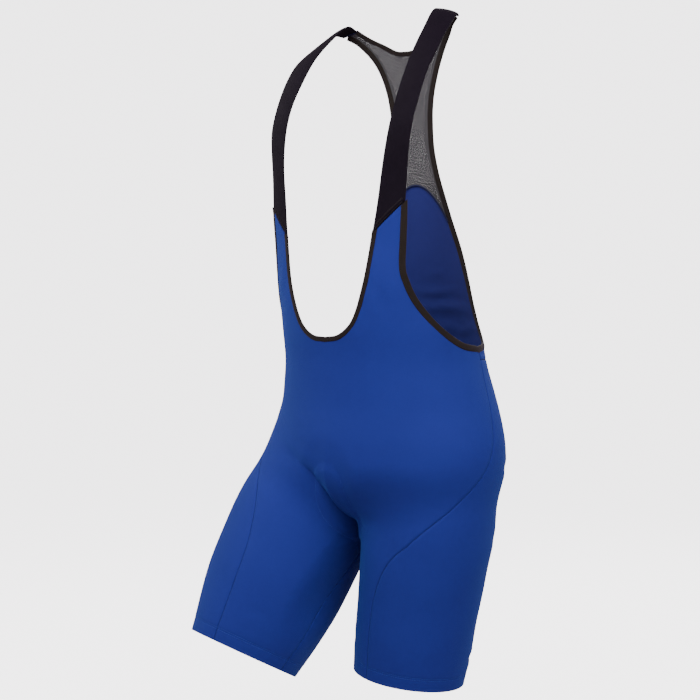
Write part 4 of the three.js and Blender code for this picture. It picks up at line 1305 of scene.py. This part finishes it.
def binding(name, stops, inward, width, cloth_thick, end_seams=(None, None)):
    """A folded tape along a cloth edge, as a rounded bar that ends along the seams it runs into.

    It grips the cloth edge by TAPE_GRIP and reaches out by width. Also gives the two lines, outer
    and inner, where its stitches run.
    """
    normals = outward(trunk_field, stops)
    turn = np.linspace(0, 2 * np.pi, TAPE_CORNERS, endpoint=False)
    w = mix(-TAPE_GRIP, width, (rounded(np.cos(turn)) + 1) / 2)
    n = (rounded(np.sin(turn)) * TAPE_THICK - cloth_thick) / 2
    along = np.gradient(stops, axis=0)
    along[0], along[-1] = stops[1] - stops[0], stops[-1] - stops[-2]
    along = unit(along)
    beyond = unit(np.cross(along, normals))
    beyond *= np.sign(((stops - inward) * beyond).sum())
    stations = []
    ends = {0: (end_seams[0], END_GAP), len(stops) - 1: (end_seams[1], -END_GAP)}
    for i in range(len(stops)):
        seam, back = ends.get(i, (None, 0))
        seam = beyond[i] if seam is None else seam
        stations.append(stops[i] + np.outer(w / (seam @ beyond[i]), seam) + np.outer(n, normals[i])
                        + along[i] * back)
    stations = np.array(stations)
    ids = np.arange(stations[..., 0].size).reshape(len(stops), TAPE_CORNERS)
    ring = np.roll(ids, -1, 1)
    quads = between(ids, ring).reshape(-1, 4)
    faces = quads.tolist() + [ids[0][::-1].tolist(), ids[-1].tolist()]
    flat = stations.reshape(-1, 3)
    middles = stations.mean(1)
    from_middle = flat[quads[:, ::2]].mean(1) - np.repeat(middles, TAPE_CORNERS, 0)[: len(quads)]
    if (face_normals(flat, quads) * from_middle).sum() < 0:
        faces = [face[::-1] for face in faces]
    length = run_of(middles)
    round_it = np.tile(np.linspace(0, 2 * width, TAPE_CORNERS), len(stops))
    uv = np.stack([np.repeat(length, TAPE_CORNERS), round_it], -1)
    piece = make_piece(name, flat, faces, uv, [tape_black])
    share = 2 * TAPE_GRIP / (width + TAPE_GRIP) - 1
    crown = (1 - abs(share) ** TAPE_SQUARE) ** (1 / TAPE_SQUARE) * TAPE_THICK / 2
    rows = [(stops + normals * (way * crown - cloth_thick / 2), normals * way) for way in (1, -1)]
    return piece, [(line[1:-1], out[1:-1]) for line, out in rows]


def strap_seam(side):
    row = strap_grids[side][0][0]
    return unit(row[-1] - row[0])


tapes, tape_rows = {}, []


def bind(node, name, line, inward, width, cloth_thick, end_seams=(None, None)):
    """One tape along the joined parts of a line, and its two rows of stitches."""
    tapes[node], rows = binding(name, np.concatenate(line), np.concatenate(inward), width, cloth_thick,
                                end_seams)
    tape_rows.extend(rows)


for side in SIDES:
    front = front_bibs[side][WAIST_ROWS:][::-1]
    back, racer = back_bibs[side][WAIST_ROWS + 1:], racers[side][1:]
    bind(f"armhole_{side}", f"armhole_tape_{side}", [front[:, -1], back[:, 0], racer[:, 0]],
         [front[:, -2], back[:, 1], racer[:, 1]], ARMHOLE_WIDTH, PANEL, (strap_seam(side), None))
left, right = (front_bibs[side][WAIST_ROWS:] for side in SIDES)
bind("scoop", "scoop_tape", [left[::-1, 0], right[1:, 0]], [left[::-1, 1], right[1:, 1]], SCOOP_WIDTH,
     PANEL, (strap_seam("left"), strap_seam("right")))
first = int(round(STRAP_SHARE * (MESH_COLUMNS - 1)))
left, right = (racers[side][:, first:] for side in SIDES)
bind("neck", "neck_tape", [left[-1], right[-1, ::-1][1:]], [left[-2], right[-2, ::-1][1:]], NECK_WIDTH,
     MESH_CLOTH)

# %% [markdown]
# ## Sewing
# The seams are overlocked inside and lie nearly flat outside, the hems are turned up and cover
# stitched, the tapes are run down with one row of stitches and the straps are tacked with zigzag.
# The pad's own stitching shows through as a fine zigzag. A stitch is one small bead of thread. Thousands
# of beads could be placed by hand or by an array on a curve, but a Geometry Nodes tree that turns a
# line into evenly spaced stitches does every seam with the same few inputs.


# %% A tree that sews along lines
BEAD_SEGMENTS, BEAD_RINGS = 6, 4
SLACK, SLACK_SEED = 0.08, 11


def stitch_tree(name, material):
    """Turns each line into evenly spaced beads that lie along it, turned and in zigzag if asked."""
    recipe = Recipe(name, "Pitch", "Length", "Thread", "Turn", "Zigzag")
    node, given = recipe.node, recipe.given
    line = node("GeometryNodeMeshToCurve", {"Mesh": given["Geometry"]})
    rows = node("GeometryNodeResampleCurve", {"Curve": line["Curve"], "Length": given["Pitch"]},
                mode="LENGTH")
    bead = node("GeometryNodeMeshUVSphere", {"Segments": BEAD_SEGMENTS, "Rings": BEAD_RINGS, "Radius": 0.5})
    size = node("ShaderNodeCombineXYZ", {"X": given["Length"], "Y": given["Thread"], "Z": given["Thread"]})
    bead = node("GeometryNodeTransform", {"Geometry": bead["Mesh"], "Scale": size[0]})
    bead = node("GeometryNodeSetShadeSmooth", {"Geometry": bead["Geometry"]})
    up = node("GeometryNodeInputNamedAttribute", {"Name": "up"}, data_type="FLOAT_VECTOR")
    tangent = node("GeometryNodeInputTangent")
    ahead = node("FunctionNodeAlignRotationToVector", {"Vector": tangent[0]}, axis="X")
    upright = node("FunctionNodeAlignRotationToVector", {"Rotation": ahead[0], "Vector": up["Attribute"]},
                   axis="Z", pivot_axis="X")
    index = node("GeometryNodeInputIndex")
    odd = node("ShaderNodeMath", {0: index[0], 1: 2.0}, operation="MODULO")
    swing = node("ShaderNodeMath", {0: odd[0], 1: 2.0, 2: -1.0}, operation="MULTIPLY_ADD")
    slack = node("FunctionNodeRandomValue", {"Seed": SLACK_SEED}, data_type="FLOAT")
    low, high = [s for s in slack[0].node.inputs if s.name in ("Min", "Max") and s.type == "VALUE"]
    low.default_value, high.default_value = -SLACK, SLACK
    slack = next(s for s in slack if s.enabled)
    angle = node("ShaderNodeMath", {0: swing[0], 1: given["Zigzag"], 2: given["Turn"]},
                 operation="MULTIPLY_ADD")
    angle = node("ShaderNodeMath", {0: angle[0], 1: slack}, operation="ADD")
    about = node("FunctionNodeAxisAngleToRotation", {"Axis": (0.0, 0.0, 1.0), "Angle": angle[0]})
    way = node("FunctionNodeRotateRotation", {0: upright[0], 1: about[0]}, rotation_space="LOCAL")
    sewn = node("GeometryNodeInstanceOnPoints", {"Points": rows["Curve"], "Instance": bead["Geometry"],
                                                 "Rotation": way[0]})
    return recipe.end(sewn["Instances"], material)


def thread(name, deep, light):
    """A twisted thread: two plies, painted lighter on their crests and darker in the grooves between them,
    as painted shade.
    """
    f = Finish(name)
    twist = f.node("ShaderNodeTexWave", wave_type="BANDS", bands_direction="DIAGONAL")
    twist.inputs["Scale"].default_value = 900.0
    f.tree.links.new(f.node("ShaderNodeTexCoord").outputs["Object"], twist.inputs["Vector"])
    # Painted shade: the colour follows the twist, lighter on the crests of the plies and darker between
    # them, with random tone.
    share = f.times(f.plus(twist.outputs["Fac"], f.noise(700.0)), 0.5)
    f.constants(Specular_IOR_Level=0.3)
    rough = f.math("SUBTRACT", 0.7, f.times(share, 0.15))
    return f.finish(f.blend(share, deep, light), rough, twist.outputs["Fac"], THREAD_RELIEF)


# Each thread gets a darker colour for the painted shade in the grooves of its twist and a lighter one for
# its crests.
navy_thread = thread("navy_thread", (0.003, 0.005, 0.035), (0.007, 0.012, 0.075))
blue_thread = thread("blue_thread", (0.02, 0.05, 0.30), (0.04, 0.10, 0.5))
black_thread = thread("black_thread", (0.012, 0.01, 0.009), (0.03, 0.026, 0.024))


sewing = {}
IN_MILLIMETRES = ("Pitch", "Length", "Thread")


def sew(name, tree, paths, **sizes):
    """Stitches along paths; each path is a line of points and the directions that face out there."""
    points = np.concatenate([line for line, _ in paths])
    counts = np.cumsum([0] + [len(line) for line, _ in paths])
    edges = [(i, i + 1) for a, b in zip(counts[:-1], counts[1:]) for i in range(a, b - 1)]
    source = bpy.data.meshes.new(name + "_lines")
    source.from_pydata(in_frame(points), edges, [])
    up = source.attributes.new("up", "FLOAT_VECTOR", "POINT")
    up.data.foreach_set("vector", np.concatenate([up for _, up in paths]).astype(np.float32).ravel())
    sizes = {key: size / 1000 if key in IN_MILLIMETRES else size for key, size in sizes.items()}
    sewing[name] = made_by(tree, name, source, **sizes)


mesh_edge = edge_cloth.build([net_grey])
mesh_edge.name = "mesh_edge"
net = made_by(net_tree("open_net", net_grey), "net", sheet, Hole=NET_HOLE, Thickness=NET_THICK / 1000)


def as_one(name, pieces):
    """Pieces of one cloth joined in one mesh."""
    whole = bmesh.new()
    for piece in pieces:
        whole.from_mesh(piece.data)
    mesh = bpy.data.meshes.new(name)
    whole.to_mesh(mesh)
    whole.free()
    for material in pieces[0].data.materials:
        mesh.materials.append(material)
    for piece in pieces:
        bpy.data.objects.remove(piece)
    print(f"{name}: {len(mesh.polygons)} faces")
    return placed(name, mesh)


mesh_back = as_one("mesh_back", [mesh_edge, net])

# %% The lines that are sewn
def lifted(line, up, height):
    """A line moved on to the relief of the cloth and a little out from it or in."""
    return line + up * (relief(line) + height)[:, None], up


def across_inside(line, up, thick):
    """The same line on the reverse of cloth of a thickness, facing the other way."""
    return line + up * (relief(line) - thick)[:, None], -up


def level_line(grid, out, value):
    """The points where a value over a grid changes sign, in pairs, and the directions out there."""
    pairs, ups = [], []
    down, over = (np.abs(np.diff(np.sign(value), axis=axis)) for axis in (0, 1))
    for i, j in zip(*np.nonzero(down[:, :-1] + over[:-1] + down[:, 1:] + over[1:])):
        corners = [(i, j), (i, j + 1), (i + 1, j + 1), (i + 1, j)]
        found = []
        for a, b in zip(corners, corners[1:] + corners[:1]):
            if value[a] * value[b] < 0:
                share = value[a] / (value[a] - value[b])
                found.append((mix(grid[a], grid[b], share), mix(out[a], out[b], share)))
        if len(found) == 2:
            pairs.append([found[0][0], found[1][0]])
            ups.append([found[0][1], found[1][1]])
    return np.array(pairs), unit(np.array(ups))


def seam_paths():
    """Every seam between two pieces of stretch cloth, with the directions out of it."""
    paths = [(shorts["left"][: CROTCH_ROW - 1, -1], shorts_out["left"][: CROTCH_ROW - 1, -1])]
    for side in SIDES:
        grid, out = shorts[side], shorts_out[side]
        for part in (np.s_[:-1, SIDE_COLUMN], np.s_[CROTCH_ROW + 2:-1, 0], np.s_[0, SIDE_COLUMN:]):
            paths.append((grid[part], out[part]))
        for line in (back_bibs[side][-1, 2:], front_bibs[side][: WAIST_ROWS + 1, -1]):
            paths.append((line, outward(trunk_field, line)))
    return paths


def strap_rows(side, at_front, distances):
    """Lines across a strap at some distances from its seam."""
    grid, out = (values if at_front else values[::-1] for values in strap_grids[side])
    run = arc(grid, 0).mean(1)
    result = []
    for distance in distances:
        row = np.interp(distance, run, np.arange(len(run)))
        i, share = int(row), row - int(row)
        line, up = (mix(values[i], values[i + 1], share)[1:-1] for values in (grid, out))
        result.append((line, unit(up)))
    return result


ladder = stitch_tree("ladder_stitches", navy_thread)
coloured = stitch_tree("cloth_stitches", blue_thread)
black = stitch_tree("tape_stitches", black_thread)
seams = seam_paths()
ACROSS, OVERLOCK_SLANT = math.pi / 2, 0.12
LADDER_HIGH, HEM_HIGH, TACK_HIGH, PAD_HIGH = 0.12, 0.1, 0.15, -0.02     # rows above the cloth's face
OVERLOCK_UNDER, LOOPER_UNDER = 0.1, 0.05                                # and rows below its reverse
TACK_PLACES = (3, 8)                                                    # from the strap's seam
sew("seam_ladders", ladder, [lifted(*path, LADDER_HIGH) for path in seams], Pitch=1.5, Length=1.7,
    Thread=0.42, Turn=ACROSS)
strap_seams = [(grid[end], out[end]) for grid, out in strap_grids.values() for end in (0, -1)]
inside_seams = [across_inside(*path, PANEL + OVERLOCK_UNDER) for path in seams + strap_seams]
sew("overlock_ridges", ladder, inside_seams, Pitch=1.0, Length=3.4, Thread=1.3,
    Turn=ACROSS + OVERLOCK_SLANT)
hems, hem_middles = [], []
for side in SIDES:
    grid, out = shorts[side], shorts_out[side]
    inside = []
    for row in (HEM_ROW + 2, HEM_ROW + 3):
        hems.append(lifted(grid[row], out[row], HEM_HIGH))
        inside.append(across_inside(grid[row], out[row], HEM_CLOTH + LOOPER_UNDER))
    (line, up), (other, other_up) = inside
    hem_middles.append(((line + other) / 2, unit(up + other_up)))
sew("hem_stitches", coloured, hems, Pitch=3.0, Length=2.5, Thread=0.5)
sew("hem_loopers", coloured, hem_middles, Pitch=1.5, Length=3.4, Thread=0.5, Turn=ACROSS, Zigzag=0.5)
sew("tape_stitches", black, tape_rows, Pitch=2.8, Length=2.3, Thread=0.45)
tacks = [(line + out * TACK_HIGH, out) for side in SIDES for at_front in (True, False)
         for line, out in strap_rows(side, at_front, TACK_PLACES)]
sew("strap_tacks", black, tacks, Pitch=1.3, Length=2.8, Thread=0.5, Turn=ACROSS, Zigzag=0.42)


# %% The stitches of the pad
SAME_END = 20                       # ends within a twentieth of a millimetre are one


def joined(pairs, ups):
    """Pairs of points that touch, put in order as lines."""
    ends = [[tuple(end) for end in pair] for pair in np.round(pairs * SAME_END).astype(int).tolist()]
    touching = {}
    for number, pair in enumerate(ends):
        for end in pair:
            touching.setdefault(end, []).append(number)
    left, lines = set(range(len(pairs))), []

    def still(end):
        return [number for number in touching[end] if number in left]

    while left:
        loose = (n for n in sorted(left) if any(len(still(end)) == 1 for end in ends[n]))
        number = next(loose, min(left))
        last = 0 if len(still(ends[number][0])) > 1 else 1
        line, out = [pairs[number][1 - last]], [ups[number][1 - last]]
        while True:
            left.discard(number)
            line.append(pairs[number][last])
            out.append(ups[number][last])
            end = ends[number][last]
            after = still(end)
            if not after:
                break
            number = after[0]
            last = 1 if ends[number][0] == end else 0
        lines.append((np.array(line), np.array(out)))
    return lines


PAD_TOP_ROW, FEWEST_POINTS = 30, 8
levels = []
for side in SIDES:
    grid, out = shorts[side][PAD_TOP_ROW:], shorts_out[side][PAD_TOP_ROW:]
    levels.append(level_line(grid, out, pad_field(grid)))
outline, outline_up = (np.concatenate(parts) for parts in zip(*levels))
pad_lines = [path for path in joined(outline, outline_up) if len(path[0]) > FEWEST_POINTS]
print("lines of the pad's outline:", [len(line) for line, _ in pad_lines])
sew("pad_stitches", coloured, [lifted(*path, PAD_HIGH) for path in pad_lines], Pitch=1.6, Length=3.0,
    Thread=0.5, Turn=ACROSS, Zigzag=0.45)

# %% The frame calls
replaced = {front_panel: ["front"], back_bib_panel: ["back_bib"], mesh_back: ["back_mesh"],
            tapes["scoop"]: ["scoop_binding"], tapes["neck"]: ["neck_binding"]}
for side in SIDES:
    replaced[legs[side]] = [f"leg_{side}"]
    replaced[straps[side]] = [f"strap_{side}"]
    replaced[tapes[f"armhole_{side}"]] = [f"armhole_binding_{side}"]
for piece, nodes in replaced.items():
    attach(piece, "root")
    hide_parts(*nodes)
for name, piece in sewing.items():
    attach(piece, "root")
print("pieces that stand for the model's:", len(replaced), "and pieces of sewing:", len(sewing))

# %% The floor, the light and the camera
def glowing(name, strength):
    f = Finish(name)
    f.constants(Base_Color=(0.9, 0.9, 0.9, 1), Emission_Color=(1, 1, 1, 1), Emission_Strength=strength)
    return f.material


def stage_piece(name, mesh, material):
    """A part of the studio: the camera sees it, and the garment gets no light from it."""
    mesh.materials.append(material)
    piece = placed(name, mesh)
    piece.visible_diffuse = piece.visible_glossy = False


FLOOR_Z, STUDIO_REACH, STUDIO_BEND, WALL_TOP, ROOF_Z, SPOKES = -0.95, 9.0, 4.0, 8.0, 11.0, 64
profile = [(STUDIO_REACH - STUDIO_BEND * (1 - math.sin(a)), FLOOR_Z + STUDIO_BEND * (1 - math.cos(a)))
           for a in np.linspace(0, math.pi / 2, 13)] + [(STUDIO_REACH, WALL_TOP)]
turns = np.linspace(0, 2 * np.pi, SPOKES, endpoint=False)
stage_points = [(r * math.cos(a), r * math.sin(a), z) for r, z in profile for a in turns]
stage_points = [(0, 0, FLOOR_Z), *stage_points, (0, 0, ROOF_Z)]
ring_ids = np.arange(len(profile) * SPOKES).reshape(len(profile), SPOKES) + 1
beside_ids = np.roll(ring_ids, -1, 1)
stage_faces = [(0, int(a), int(b)) for a, b in zip(ring_ids[0], beside_ids[0])]
stage_faces += between(beside_ids, ring_ids).reshape(-1, 4).tolist()
stage_faces += [(int(a), len(stage_points) - 1, int(b)) for a, b in zip(ring_ids[-1], beside_ids[-1])]
sweep = bpy.data.meshes.new("floor_and_backdrop")
sweep.from_pydata(stage_points, [], stage_faces)
sweep.shade_smooth()
stage_piece("floor_and_backdrop", sweep, glowing("pale_studio", 3.4))
world = bpy.data.worlds.new("studio")
bpy.context.scene.world = world
world.use_nodes = True
air = world.node_tree.nodes["Background"].inputs
air["Color"].default_value, air["Strength"].default_value = (1.0, 0.74, 0.93, 1), 0.42


def softbox(name, place, aim, size, power):
    light = bpy.data.lights.new(name, "AREA")
    light.shape, light.size, light.energy = "SQUARE", size, power
    made = placed(name, light)
    made.location = place
    made.rotation_euler = (Vector(aim) - Vector(place)).to_track_quat("-Z", "Y").to_euler()


softbox("key", (0.2, -1.2, 0.6), (0, 0, -0.3), 0.9, 17)
softbox("fill", (1.4, -0.35, 0.5), (0, 0, -0.4), 1.0, 18)
softbox("side", (-1.4, -0.5, 0.5), (0, 0, -0.35), 1.0, 10)
softbox("back", (-0.5, 1.6, 0.7), (0, 0, -0.5), 1.2, 20)

CAMERA_DOWN, CAMERA_ROUND = 1.016, 41       # degrees below level, and round to the wearer's left
lens = bpy.data.cameras.new("camera")
lens.sensor_width, lens.lens = 36.0, 87.0171
camera = placed("camera", lens)
camera.location = (1.4061, -1.7008, -0.394)
camera.rotation_euler = (math.radians(90 - CAMERA_DOWN), 0, math.radians(CAMERA_ROUND))
bpy.context.scene.camera = camera

# %% [markdown]
# ## How each piece was cut
# Stretch cloth is cut smaller than the body that it goes over. The panels are worn about a tenth
# longer round the body and hardly longer down it, the straps about an eighth longer, and the net about
# a seventh longer both ways. The sizes here are of the cloth that shows; a tape is cut wide enough to
# be folded over the edge, and shows about its own folded width.

# %% The flat sizes
CUTS = {
    front_panel: ((0.50, 0.84), 0.148), legs["left"]: ((0.33, 0.52), 0.113),
    legs["right"]: ((0.36, 0.54), 0.132), back_bib_panel: ((0.30, 0.22), 0.0325),
    mesh_back: ((0.18, 0.25), 0.0142), tapes["scoop"]: ((0.010, 0.30), None),
    tapes["neck"]: ((0.010, 0.16), None),
}
for side in SIDES:
    CUTS[straps[side]] = (0.034, 0.29), None
    CUTS[tapes[f"armhole_{side}"]] = (0.0105, 0.66), None
for piece, (flat, area) in CUTS.items():
    worn = sum(face.area for face in piece.data.polygons) / 2
    print(f"{piece.name}: cut {flat}, worn area over cut area {worn / (area or flat[0] * flat[1]):.2f}")
